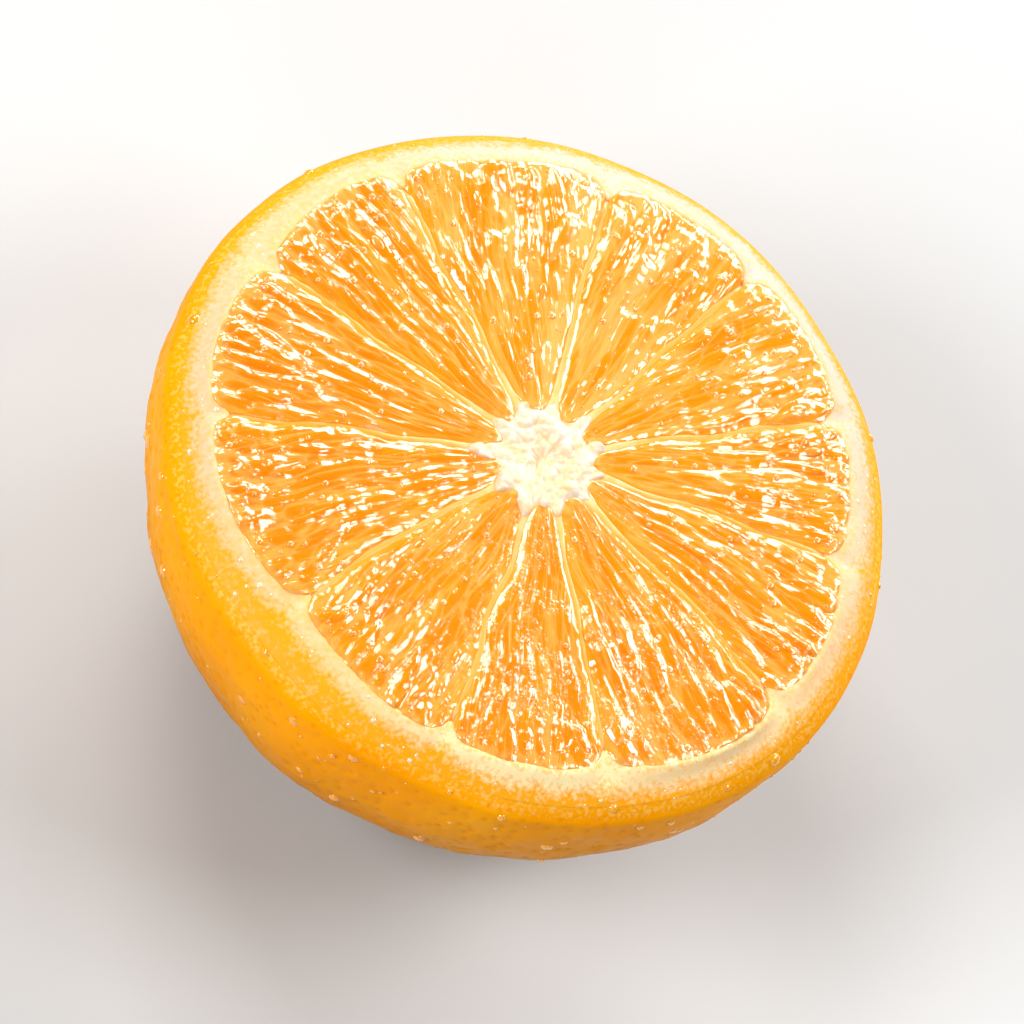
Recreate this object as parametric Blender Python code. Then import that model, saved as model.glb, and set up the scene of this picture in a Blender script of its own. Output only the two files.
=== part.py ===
"""Half an orange, cut across its stem axis, resting cut face up on the flat end of its dome.

The half is one solid. Its thick peel has an outer skin and a pale pith, and inside it eleven
wedges of flesh lie between thin walls and meet at a soft, star-shaped core. The solid starts as
a sphere, and each row of its points is pushed to its own place on the half.
"""

from math import asin, atan2, cos, exp, pi, radians, sin, sqrt
from random import Random

import bmesh
import bpy
from mathutils import Vector, noise

OBJECT_NAME = "orange_half"

# Peel, in metres, with heights measured from the widest circle
PEEL_RADIUS = 0.0390
DOME_DEPTH = 0.0367
FLAT_SPOT_RADIUS = 0.0093
SKIN_EDGE = ((0.0384, 0.0009), (0.03885, 0.0004))
SKIN_INNER_RADIUS = 0.0377
SKIN_INNER_HEIGHT = 0.0016
PITH_MIDDLE_RADIUS = 0.0362
PITH_MIDDLE_HEIGHT = 0.0023
PEEL_DENT = 0.00025
PEEL_DENT_SPACING = 0.0110

# Slow bulges and flats of the peel: direction and reach in degrees, height in metres
PEEL_BULGES = (
    (30.0, 14.0, -0.00043), (90.0, 14.0, 0.00058), (143.0, 10.0, -0.00036), (214.0, 9.0, -0.00030),
    (267.0, 8.0, 0.00038), (286.0, 8.0, -0.00030), (337.0, 16.0, 0.00032),
)

# Flesh, in metres
FLESH_RADIUS = 0.0346
FLESH_HEIGHT = 0.0039
FLESH_CROWN = 0.0005
FLESH_FOOT_WIDTH = 0.0003
FLESH_FOOT_HEIGHT = 0.0031
NOTCH_DEPTH = 0.0014
NOTCH_REACH = 0.0010
CORNER_DEPTH = 0.0005
CORNER_REACH = 0.0032
SWELL_HEIGHT = 0.0007
SWELL_REACH = 0.0016
SAC_HEIGHT = 0.0004
SAC_FULL_RADIUS = 0.0280
SAC_FADE = 1.5

# Slow bulges and flats of the flesh: direction and reach in degrees, height in metres
FLESH_BULGES = (
    (28.0, 18.0, -0.00110), (78.0, 16.0, 0.00060), (132.0, 12.0, -0.00060), (178.0, 10.0, -0.00030),
    (205.0, 18.0, 0.00060), (256.0, 16.0, -0.00160), (340.0, 14.0, 0.00060),
)

# Walls between the wedges: the direction of each at the core and at the peel, in degrees
WALL_DIRECTIONS = (
    (22.5, 22.5), (50.0, 50.0), (80.0, 80.0), (113.5, 109.0), (149.0, 149.0), (181.0, 181.0),
    (213.0, 213.0), (251.0, 251.0), (286.0, 286.0), (315.0, 315.0), (351.0, 351.0),
)
WALL_HALF_WIDTH = 0.00025
WALL_CREST = 0.0002

# Core, in metres
CORE_CENTRE = (0.0003, 0.0006)
CORE_RADIUS = 0.0047
CORE_POINT_LENGTH = 0.0019
CORE_POINT_SHARPNESS = 3
CORE_SINK = 0.0009
CORE_STEP = 0.0006
CORE_STEP_REACH = 0.0012
CORE_LUMP = 0.0007
CORE_LUMP_SPACING = 0.0022

# Rows of points from the middle of the cut face to the middle of the flat spot
CORE_ROWS = 4
FLESH_ROWS = 14
DOME_ROWS = 9
FLESH_EDGE_ROW = CORE_ROWS + FLESH_ROWS
FOOT_ROW = FLESH_EDGE_ROW + 1
PITH_MIDDLE_ROW = FOOT_ROW + 1
SKIN_INNER_ROW = PITH_MIDDLE_ROW + 1
WIDEST_ROW = SKIN_INNER_ROW + len(SKIN_EDGE) + 1
LAST_ROW = WIDEST_ROW + DOME_ROWS + 1

# Columns of points round the axis
COLUMNS_A_WEDGE = 16
WEDGES = len(WALL_DIRECTIONS)
COLUMNS = COLUMNS_A_WEDGE * WEDGES

# Juice sacs, counted in rows of points, and their seed
SAC_ROWS = (4, 6)
SAC_SEED = 11

# Shading
CREASE_ANGLE = radians(50.0)

# Materials: colour and roughness
SKIN_COLOUR = (0.93, 0.33, 0.01, 1.0)
SKIN_ROUGHNESS = 0.38
PITH_COLOUR = (0.96, 0.83, 0.55, 1.0)
PITH_ROUGHNESS = 0.75
FLESH_COLOUR = (0.95, 0.30, 0.01, 1.0)
FLESH_ROUGHNESS = 0.22


def flat_spot_angle():
    """Angle down the dome's section at which the flat spot begins."""
    return asin(sqrt(1.0 - (FLAT_SPOT_RADIUS / PEEL_RADIUS) ** 2))


def resting_depth():
    """Distance from the widest circle down to the flat spot."""
    return DOME_DEPTH * sin(flat_spot_angle())


def column_place(column):
    """Wedge number and the column's number inside that wedge."""
    return divmod(column % COLUMNS, COLUMNS_A_WEDGE)


def wall_direction(wedge, end):
    """Direction of the wall that a wedge begins at, end 0 at the core and end 1 at the peel."""
    turns, index = divmod(wedge, WEDGES)
    return radians(WALL_DIRECTIONS[index][end]) + 2.0 * pi * turns


def column_direction(column, end, radius):
    """Direction of a column at the core or at the peel, with room for half a wall beside it."""
    wedge, place = column_place(column)
    start = wall_direction(wedge, end)
    span = wall_direction(wedge + 1, end) - start
    if place == 0:
        return start
    margin = WALL_HALF_WIDTH / radius
    share = (place - 1) / (COLUMNS_A_WEDGE - 2)
    return start + margin + (span - 2.0 * margin) * share


def distance_to_wall(column, radius):
    """Distance along a circle from a column to the nearer wall of its wedge."""
    wedge, place = column_place(column)
    here = column_direction(column, 1, radius)
    before = here - wall_direction(wedge, 1)
    after = wall_direction(wedge + 1, 1) - here
    if place == 0:
        return 0.0
    return radius * min(before, after)


def hump(distance, reach):
    """Bell-shaped falloff that is one at no distance."""
    return exp(-((distance / reach) ** 2))


def bulge(direction, bulges):
    """Height of the slow bulges and flats in one direction."""
    height = 0.0
    for middle, reach, peak in bulges:
        turn = (direction - radians(middle) + pi) % (2.0 * pi) - pi
        height += peak * hump(turn, radians(reach))
    return height


def core_outline(column):
    """Point on the core's star-shaped outline, with its points running into the walls."""
    wedge, place = column_place(column)
    nearness = abs(2.0 * place / COLUMNS_A_WEDGE - 1.0) ** CORE_POINT_SHARPNESS
    lobe = 0.1 * CORE_RADIUS * noise.noise(Vector((wedge * 1.7, 0.4, 0.0)))
    radius = CORE_RADIUS + lobe + CORE_POINT_LENGTH * nearness
    direction = column_direction(column, 0, radius)
    return Vector((
        CORE_CENTRE[0] + radius * cos(direction),
        CORE_CENTRE[1] + radius * sin(direction),
    ))


def flesh_edge(column):
    """Point where a column of flesh meets the pith, drawn in where it nears a wall."""
    distance = distance_to_wall(column, FLESH_RADIUS)
    direction = column_direction(column, 1, FLESH_RADIUS)
    radius = FLESH_RADIUS + bulge(direction, FLESH_BULGES)
    radius -= NOTCH_DEPTH * hump(distance, NOTCH_REACH)
    radius -= CORNER_DEPTH * hump(distance, CORNER_REACH)
    return Vector((radius * cos(direction), radius * sin(direction)))


def cut_height(radius):
    """Height of the slightly crowned cut face."""
    return FLESH_HEIGHT + FLESH_CROWN * (1.0 - (radius / FLESH_RADIUS) ** 2)


def core_point(row, column):
    """Point on the soft core, sunk a little in its middle and lumpy all over."""
    share = row / CORE_ROWS
    centre = Vector(CORE_CENTRE)
    flat = centre.lerp(core_outline(column), share) if row else centre
    spot = Vector((flat.x, flat.y, 0.0)) / CORE_LUMP_SPACING
    lump = CORE_LUMP * noise.noise(spot)
    step = CORE_STEP if row == CORE_ROWS else 0.0
    height = cut_height(flat.length) - CORE_SINK * (1.0 - share) ** 2 + lump - step
    return Vector((flat.x, flat.y, height))


def sac_lengths():
    """Length and starting row of the juice sacs in every column, from a seeded generator."""
    chance = Random(SAC_SEED)
    return [
        (chance.randint(*SAC_ROWS), chance.randint(0, SAC_ROWS[1]))
        for _ in range(COLUMNS)
    ]


def sac_relief(row, column, lengths):
    """Height of the juice sacs, crests and hollows taking turns across a wedge and along it."""
    place = column_place(column)[1]
    length, start = lengths[column % COLUMNS]
    step, along = divmod(row + start, length)
    crest = 1.0 if (place + step) % 2 == 0 else -1.0
    rounding = sin(pi * (along + 0.5) / length)
    return SAC_HEIGHT * crest * rounding


def flesh_point(row, column, lengths):
    """Point on the flesh: a swollen wedge with juice sacs, and a thin raised wall beside it."""
    share = (row - CORE_ROWS) / FLESH_ROWS
    start = core_outline(column)
    flat = start.lerp(flesh_edge(column), share)
    radius = flat.length
    place = column_place(column)[1]
    distance = distance_to_wall(column, radius)
    height = cut_height(radius) - SWELL_HEIGHT * hump(distance, SWELL_REACH)
    height -= CORE_STEP * hump((flat - start).length, CORE_STEP_REACH)
    if place == 0:
        height += WALL_CREST
    elif 1 < place < COLUMNS_A_WEDGE - 1 and row < FLESH_EDGE_ROW:
        fade = min(1.0, radius / SAC_FULL_RADIUS) ** SAC_FADE
        height += sac_relief(row, column, lengths) * fade
    return Vector((flat.x, flat.y, height))


def foot_point(column):
    """Point at the foot of the flesh, on the pith."""
    edge = flesh_edge(column)
    outward = edge.normalized() * FLESH_FOOT_WIDTH
    return Vector((edge.x + outward.x, edge.y + outward.y, FLESH_FOOT_HEIGHT))


def peel_point(column, radius, height):
    """Point of the peel at a radius and height of its section, with its bulges and dents."""
    direction = column_direction(column, 1, FLESH_RADIUS)
    even = Vector((radius * cos(direction), radius * sin(direction), height))
    dent = PEEL_DENT * noise.noise(even / PEEL_DENT_SPACING)
    share = (bulge(direction, PEEL_BULGES) + dent) / PEEL_RADIUS
    return Vector((even.x * (1.0 + share), even.y * (1.0 + share), height))


def rim_section():
    """Radius and height of the rows from the pith over the rounded edge of the skin."""
    return (
        (PITH_MIDDLE_RADIUS, PITH_MIDDLE_HEIGHT),
        (SKIN_INNER_RADIUS, SKIN_INNER_HEIGHT),
        *SKIN_EDGE,
        (PEEL_RADIUS, 0.0),
    )


def dome_section(row):
    """Radius and height of a row of the dome, between the widest circle and the flat spot."""
    angle = flat_spot_angle() * (row - WIDEST_ROW) / DOME_ROWS
    return PEEL_RADIUS * cos(angle), -DOME_DEPTH * sin(angle)


def place_point(row, column, lengths):
    """Point of the half for a row and a column of the starting sphere."""
    if row <= CORE_ROWS:
        return core_point(row, column)
    if row <= FLESH_EDGE_ROW:
        return flesh_point(row, column, lengths)
    if row == FOOT_ROW:
        return foot_point(column)
    if row <= WIDEST_ROW:
        return peel_point(column, *rim_section()[row - PITH_MIDDLE_ROW])
    if row < LAST_ROW:
        return peel_point(column, *dome_section(row))
    return Vector((0.0, 0.0, -resting_depth()))


def sphere_row(point):
    """Row number of a point of the starting sphere, counted from the top."""
    return round(LAST_ROW * (0.5 - asin(max(-1.0, min(1.0, point.z))) / pi))


def sphere_column(point):
    """Column number of a point of the starting sphere, counted round the axis."""
    return round(COLUMNS * atan2(point.y, point.x) / (2.0 * pi)) % COLUMNS


def is_wall(columns):
    """Whether a face lies on a wall, from the columns of its corners."""
    places = {column_place(column)[1] for column in columns}
    return places <= {0, 1} or places <= {0, COLUMNS_A_WEDGE - 1}


def material_index(rows, columns):
    """Material of a face: 0 for skin, 1 for pith, core and walls, 2 for flesh."""
    if max(rows) <= CORE_ROWS:
        return 1
    if max(rows) <= FLESH_EDGE_ROW:
        return 1 if is_wall(columns) else 2
    return 1 if max(rows) <= SKIN_INNER_ROW else 0


def make_material(name, colour, roughness):
    """Principled material with one colour and roughness."""
    material = bpy.data.materials.new(name)
    material.use_nodes = True
    shader = material.node_tree.nodes["Principled BSDF"]
    shader.inputs["Base Color"].default_value = colour
    shader.inputs["Roughness"].default_value = roughness
    material.diffuse_color = colour
    return material


def half_materials():
    """Materials of the half in slot order."""
    return (
        make_material("skin", SKIN_COLOUR, SKIN_ROUGHNESS),
        make_material("pith", PITH_COLOUR, PITH_ROUGHNESS),
        make_material("flesh", FLESH_COLOUR, FLESH_ROUGHNESS),
    )


def half_mesh():
    """Mesh of the half, shaped from a sphere."""
    shape = bmesh.new()
    bmesh.ops.create_uvsphere(shape, u_segments=COLUMNS, v_segments=LAST_ROW, radius=1.0)
    rows = {vert: sphere_row(vert.co) for vert in shape.verts}
    columns = {vert: sphere_column(vert.co) for vert in shape.verts}
    for face in shape.faces:
        inner_columns = {columns[vert] for vert in face.verts if 0 < rows[vert] < LAST_ROW}
        face.material_index = material_index([rows[vert] for vert in face.verts], inner_columns)
    lengths = sac_lengths()
    for vert in shape.verts:
        vert.co = place_point(rows[vert], columns[vert], lengths)
    bmesh.ops.triangulate(shape, faces=shape.faces[:])
    mesh = bpy.data.meshes.new(OBJECT_NAME)
    shape.to_mesh(mesh)
    shape.free()
    return mesh


def centre_on_origin(mesh):
    """Move the mesh so that its box is centred over the origin and it rests at no height."""
    lows = [min(vert.co[axis] for vert in mesh.vertices) for axis in range(3)]
    highs = [max(vert.co[axis] for vert in mesh.vertices) for axis in range(3)]
    shift = Vector((-(lows[0] + highs[0]) / 2.0, -(lows[1] + highs[1]) / 2.0, -lows[2]))
    for vert in mesh.vertices:
        vert.co += shift


def build_half(collection):
    """Build the half and link it to its collection."""
    mesh = half_mesh()
    centre_on_origin(mesh)
    for material in half_materials():
        mesh.materials.append(material)
    mesh.shade_smooth()
    mesh.set_sharp_from_angle(angle=CREASE_ANGLE)
    half = bpy.data.objects.new(OBJECT_NAME, mesh)
    collection.objects.link(half)


def main():
    """Clear the scene and build the half in a collection of its own."""
    for old in list(bpy.data.objects):
        bpy.data.objects.remove(old, do_unlink=True)
    collection = bpy.data.collections.new("orange half")
    bpy.context.scene.collection.children.link(collection)
    build_half(collection)


main()
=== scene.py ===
"""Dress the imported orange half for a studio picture.

The half lies cut face up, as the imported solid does. Its skin, pith, walls, core and eleven wedges
of juice sacs are built round the stem axis from a few sizes in metres, and water beads lie on it.
"""

import logging
from dataclasses import dataclass, field
from enum import Enum
from math import asin, cos, pi, radians, sin, sqrt
from random import Random

import bmesh
import bpy
import numpy as np
from mathutils import Matrix, Vector, noise


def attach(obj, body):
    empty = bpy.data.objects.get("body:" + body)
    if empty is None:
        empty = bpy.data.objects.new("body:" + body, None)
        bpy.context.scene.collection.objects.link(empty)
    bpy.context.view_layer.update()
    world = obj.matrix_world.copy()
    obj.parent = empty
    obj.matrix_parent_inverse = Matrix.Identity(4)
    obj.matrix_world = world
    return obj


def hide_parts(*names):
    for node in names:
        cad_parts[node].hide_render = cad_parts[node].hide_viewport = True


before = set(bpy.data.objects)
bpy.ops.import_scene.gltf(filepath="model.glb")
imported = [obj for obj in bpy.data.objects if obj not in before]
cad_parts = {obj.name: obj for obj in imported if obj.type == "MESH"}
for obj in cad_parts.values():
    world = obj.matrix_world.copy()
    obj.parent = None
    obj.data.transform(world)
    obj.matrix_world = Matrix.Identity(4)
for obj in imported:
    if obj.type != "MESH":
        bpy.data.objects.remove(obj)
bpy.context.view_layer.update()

Material = bpy.types.Material
Mesh = bpy.types.Mesh
Node = bpy.types.Node
NodeOutputs = bpy.types.NodeOutputs
Piece = bpy.types.Object
Socket = bpy.types.NodeSocket

NODE = "orange_half"
BODY = "root"
SHARP_ANGLE = 65.0

log = logging.getLogger("orange half")


class End(Enum):
    """The two ends of a wall or a wedge."""

    CORE = 0
    PEEL = 1


@dataclass(frozen=True)
class HalfForm:
    """Sizes of the half, in metres, that every piece is worked out from.

    Heights of the sizes are measured from the widest circle, directions are in degrees.
    """

    peel_radius: float = 0.0390
    dome_depth: float = 0.0367
    flat_spot_radius: float = 0.0093
    skin_edge: tuple = ((0.0377, 0.0016), (0.0384, 0.0009), (0.03885, 0.0004), (0.0390, 0.0))
    pith_middle: tuple = (0.0362, 0.0027)
    peel_dent: float = 0.00025
    peel_dent_spacing: float = 0.0110
    peel_bulges: tuple = (
        (30.0, 14.0, -0.00043), (90.0, 14.0, 0.00058), (143.0, 10.0, -0.00036),
        (214.0, 9.0, -0.00030), (267.0, 8.0, 0.00038), (286.0, 8.0, -0.00030),
        (337.0, 16.0, 0.00032),
    )
    flesh_radius: float = 0.0346
    flesh_height: float = 0.0039
    flesh_crown: float = 0.0005
    foot_width: float = 0.0003
    foot_height: float = 0.0031
    notch_depth: float = 0.0014
    notch_reach: float = 0.0010
    corner_depth: float = 0.0005
    corner_reach: float = 0.0032
    flesh_bulges: tuple = (
        (28.0, 18.0, -0.00110), (78.0, 16.0, 0.00060), (132.0, 12.0, -0.00060),
        (178.0, 10.0, -0.00030), (205.0, 18.0, 0.00060), (256.0, 16.0, -0.00160),
        (340.0, 14.0, 0.00060),
    )
    walls: tuple = (
        (22.5, 22.5), (50.0, 50.0), (80.0, 80.0), (113.5, 109.0), (149.0, 149.0), (181.0, 181.0),
        (213.0, 213.0), (251.0, 251.0), (286.0, 286.0), (315.0, 315.0), (351.0, 351.0),
    )
    wall_half_width: float = 0.00022
    wall_sway: float = 0.0010
    wall_sway_spacing: float = 0.0080
    first_sway_lane: float = 0.0043
    sway_lane_step: float = 0.0137
    thick_skin: tuple = ((262.0, 40.0, 0.34), (80.0, 45.0, -0.22), (165.0, 35.0, -0.20))
    # painted light: directions in which the pith is painted paler and whiter, standing in for
    # brighter light there
    painted_light_pale_pith: tuple = ((72.0, 55.0, 1.0), (128.0, 26.0, 0.5), (204.0, 30.0, 0.35))
    # painted light: directions in which the pith is painted creamier, standing in for light where
    # the lamps leave it dim
    painted_light_cream_pith: tuple = ((302.0, 28.0, 0.95), (345.0, 18.0, 0.45))
    deep_flesh: tuple = ((208.0, 36.0, 1.3), (322.0, 44.0, 0.8), (100.0, 40.0, -0.7))
    misty_place: tuple = (0.0160, -0.0127)
    misty_reach: float = 0.0150
    core_centre: tuple = (0.0003, 0.0006)
    core_radius: float = 0.0047
    core_point_length: float = 0.0019
    core_point_sharpness: float = 3.0
    core_lobe: float = 0.1
    core_lobe_step: float = 1.7
    core_lobe_lane: float = 0.4

    def flat_spot_angle(self) -> float:
        """Angle down the dome's section at which the flat spot begins."""
        return asin(sqrt(1.0 - (self.flat_spot_radius / self.peel_radius) ** 2))

    def widest_height(self) -> float:
        """Height of the widest circle over the floor."""
        return self.dome_depth * sin(self.flat_spot_angle())

    def wedge_count(self) -> int:
        """Number of wedges, one for each wall."""
        return len(self.walls)

    def wall_direction(self, wedge: int, end: End) -> float:
        """Direction of the wall that a wedge begins at.

        Args:
            wedge: Number of the wedge, where one past the last is the first, a turn later.
            end: End of the wall at which its direction is wanted.

        Returns:
            The direction in radians.
        """
        turns, index = divmod(wedge, self.wedge_count())
        return radians(self.walls[index][end.value]) + 2.0 * pi * turns

    def peel_offset(self, directions: np.ndarray, heights: np.ndarray) -> np.ndarray:
        """Distance by which the peel stands out of an even round one.

        Args:
            directions: Directions in radians.
            heights: Heights over the widest circle, in metres.

        Returns:
            Distances in metres, positive outwards.
        """
        even = np.stack([
            self.peel_radius * np.cos(directions),
            self.peel_radius * np.sin(directions),
            heights,
        ], axis=-1)
        dents = self.peel_dent * soft_noise(even, self.peel_dent_spacing)
        return bulge(directions, self.peel_bulges) + dents

    def axis_place(self) -> tuple[float, float]:
        """Place of the stem axis on the floor, with the half's box centred on the origin.

        Returns:
            The axis's x and y in metres.
        """
        directions = np.linspace(0.0, 2.0 * pi, 720, endpoint=False)
        radius = self.peel_radius + self.peel_offset(directions, np.zeros_like(directions))
        across = radius * np.cos(directions)
        along = radius * np.sin(directions)
        return -(across.min() + across.max()) / 2.0, -(along.min() + along.max()) / 2.0

    def placed(self, across: np.ndarray, along: np.ndarray, height: np.ndarray) -> np.ndarray:
        """Points in the scene.

        Args:
            across: Offsets from the stem axis in x.
            along: Offsets from the stem axis in y.
            height: Heights over the widest circle.

        Returns:
            Array whose last axis holds x, y and z in metres.
        """
        axis = self.axis_place()
        return np.stack([axis[0] + across, axis[1] + along, self.widest_height() + height], -1)

    def sway_of_wall(self, wall: int, radius: np.ndarray) -> np.ndarray:
        """Distance sideways by which a wall bends off its straight line.

        Args:
            wall: Number of the wall.
            radius: Distances from the axis.

        Returns:
            Distances in metres, none at the core and the pith.
        """
        lane = self.first_sway_lane + self.sway_lane_step * (wall % self.wedge_count())
        spots = np.stack([radius, np.full_like(radius, lane), np.zeros_like(radius)], axis=-1)
        reach = self.flesh_radius - self.core_radius
        share = np.clip((radius - self.core_radius) / reach, 0.0, 1.0)
        return self.wall_sway * np.sin(pi * share) * soft_noise(spots, self.wall_sway_spacing)

    def cut_height(self, radius: np.ndarray) -> np.ndarray:
        """Height of the slightly crowned cut face at distances from the axis."""
        return self.flesh_height + self.flesh_crown * (1.0 - (radius / self.flesh_radius) ** 2)

    def flesh_edge(self, directions: np.ndarray, wall_gaps: np.ndarray) -> np.ndarray:
        """Distance from the axis at which the flesh meets the pith.

        Args:
            directions: Directions in radians.
            wall_gaps: Distances along the flesh's edge to the nearer wall, in metres.

        Returns:
            Distances from the axis in metres, drawn in where the edge nears a wall.
        """
        radius = self.flesh_radius + bulge(directions, self.flesh_bulges)
        radius = radius - self.notch_depth * hump(wall_gaps, self.notch_reach)
        return radius - self.corner_depth * hump(wall_gaps, self.corner_reach)

    def core_reach(self, across: np.ndarray, wedge: int) -> np.ndarray:
        """Distance from the core's centre to its star-shaped outline.

        Args:
            across: Shares of the way across the wedge, from 0 to 1.
            wedge: Number of the wedge.

        Returns:
            Distances in metres, longest beside the walls.
        """
        spot = Vector((wedge * self.core_lobe_step, self.core_lobe_lane, 0.0))
        radius = self.core_radius * (1.0 + self.core_lobe * noise.noise(spot))
        nearness = np.abs(2.0 * across - 1.0) ** self.core_point_sharpness
        return radius + self.core_point_length * nearness

    def gap_to_wall(self, directions: np.ndarray) -> np.ndarray:
        """Distance along the flesh's edge from directions to the nearest wall."""
        walls = np.radians([wall[End.PEEL.value] for wall in self.walls])
        turns = np.abs((directions[..., None] - walls + pi) % (2.0 * pi) - pi)
        return self.flesh_radius * turns.min(axis=-1)


def hump(distance: np.ndarray, reach: float) -> np.ndarray:
    """Bell-shaped falloff that is one at no distance."""
    return np.exp(-((distance / reach) ** 2))


def bulge(directions: np.ndarray, bulges: tuple) -> np.ndarray:
    """Height of slow bulges and flats round the half.

    Args:
        directions: Directions in radians.
        bulges: Direction and reach in degrees and height in metres of each bulge.

    Returns:
        Heights in metres.
    """
    height = np.zeros_like(directions)
    for middle, reach, peak in bulges:
        turn = (directions - radians(middle) + pi) % (2.0 * pi) - pi
        height = height + peak * hump(turn, radians(reach))
    return height


def soft_noise(points: np.ndarray, spacing: float) -> np.ndarray:
    """Smooth noise at many points.

    Args:
        points: Array whose last axis holds x, y and z in metres.
        spacing: Distance in metres from one swell of the noise to the next.

    Returns:
        Values of about -1 to 1, one for each point.
    """
    flat = (points / spacing).reshape(-1, 3).tolist()
    values = np.fromiter((noise.noise(spot) for spot in flat), dtype=float, count=len(flat))
    return values.reshape(points.shape[:-1])


def step_between(low: float, high: float, values: np.ndarray) -> np.ndarray:
    """Smooth step from 0 at low to 1 at high."""
    share = np.clip((values - low) / (high - low), 0.0, 1.0)
    return share * share * (3.0 - 2.0 * share)


def spline_through(stops: tuple, count: int) -> np.ndarray:
    """Smooth line through a few stops.

    Args:
        stops: Points of the line, each a tuple of numbers.
        count: Number of points wanted along the whole line.

    Returns:
        Array of count points, the first and last of them the outer stops.
    """
    knots = np.array([stops[0], *stops, stops[-1]], dtype=float)
    places = np.linspace(0.0, len(stops) - 1.0, count)
    line = []
    for place in places:
        index = min(int(place), len(stops) - 2)
        share = place - index
        before, start, end, after = knots[index:index + 4]
        bend = (2.0 * before - 5.0 * start + 4.0 * end - after) * share ** 2
        twist = (3.0 * start - before - 3.0 * end + after) * share ** 3
        line.append(0.5 * (2.0 * start + (end - before) * share + bend + twist))
    return np.array(line)


def sheet_faces(rows: int, columns: int, wrap_rows: bool, wrap_columns: bool) -> np.ndarray:
    """Four-cornered faces of a net of points.

    Args:
        rows: Number of rows of points.
        columns: Number of points in a row.
        wrap_rows: Whether the last row joins the first.
        wrap_columns: Whether each row's last point joins its first.

    Returns:
        Array of faces, each four point numbers.
    """
    row = np.arange(rows if wrap_rows else rows - 1)
    column = np.arange(columns if wrap_columns else columns - 1)
    row, column = np.meshgrid(row, column, indexing="ij")
    next_row = (row + 1) % rows
    next_column = (column + 1) % columns
    corners = (
        row * columns + column,
        next_row * columns + column,
        next_row * columns + next_column,
        row * columns + next_column,
    )
    return np.stack([corner.ravel() for corner in corners], axis=1)


def fan_faces(loop: np.ndarray, centre: int, turned: bool) -> np.ndarray:
    """Triangles from a closed loop of points to one centre.

    Args:
        loop: Point numbers round the loop, the last joined to the first.
        centre: Number of the centre point.
        turned: Whether the triangles face the other way.

    Returns:
        Array of triangles, each three point numbers.
    """
    after = np.roll(loop, -1)
    middle = np.full_like(loop, centre)
    order = (after, loop, middle) if turned else (loop, after, middle)
    return np.stack(order, axis=1)


def make_mesh(name: str, points: np.ndarray, faces: list[np.ndarray]) -> Mesh:
    """Smooth mesh from arrays of points and faces.

    Args:
        name: Name of the mesh.
        points: Array of points in metres.
        faces: Arrays of faces, each array with its own number of corners.

    Returns:
        The mesh.
    """
    corners = np.concatenate([group.ravel() for group in faces]).astype(np.int32)
    sizes = np.concatenate([np.full(len(group), group.shape[1]) for group in faces])
    starts = np.concatenate([[0], np.cumsum(sizes)[:-1]]).astype(np.int32)
    mesh = bpy.data.meshes.new(name)
    mesh.vertices.add(len(points))
    mesh.vertices.foreach_set("co", points.astype(np.float32).ravel())
    mesh.loops.add(len(corners))
    mesh.loops.foreach_set("vertex_index", corners)
    mesh.polygons.add(len(starts))
    mesh.polygons.foreach_set("loop_start", starts)
    mesh.update(calc_edges=True)
    mesh.validate()
    mesh.shade_smooth()
    mesh.set_sharp_from_angle(angle=radians(SHARP_ANGLE))
    return mesh


def keep_numbers(mesh: Mesh, name: str, values: np.ndarray) -> None:
    """Store one number for each point of a mesh under a name."""
    layer = mesh.attributes.new(name, "FLOAT", "POINT")
    layer.data.foreach_set("value", values.astype(np.float32).ravel())


def show(name: str, mesh: Mesh) -> Piece:
    """Object at the origin that shows a mesh."""
    piece = bpy.data.objects.new(name, mesh)
    bpy.context.scene.collection.objects.link(piece)
    return piece


def fasten(piece: Piece) -> None:
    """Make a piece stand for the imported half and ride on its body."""
    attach(piece, BODY)
    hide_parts(NODE)
    log.info("%s: %d faces", piece.name, len(piece.data.polygons))


def dress(mesh: Mesh, material: Material) -> Piece:
    """Show a mesh under its own name, give it a material and fasten it.

    Args:
        mesh: The mesh.
        material: Its material.

    Returns:
        The piece.
    """
    piece = show(mesh.name, mesh)
    mesh.materials.append(material)
    fasten(piece)
    return piece


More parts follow.
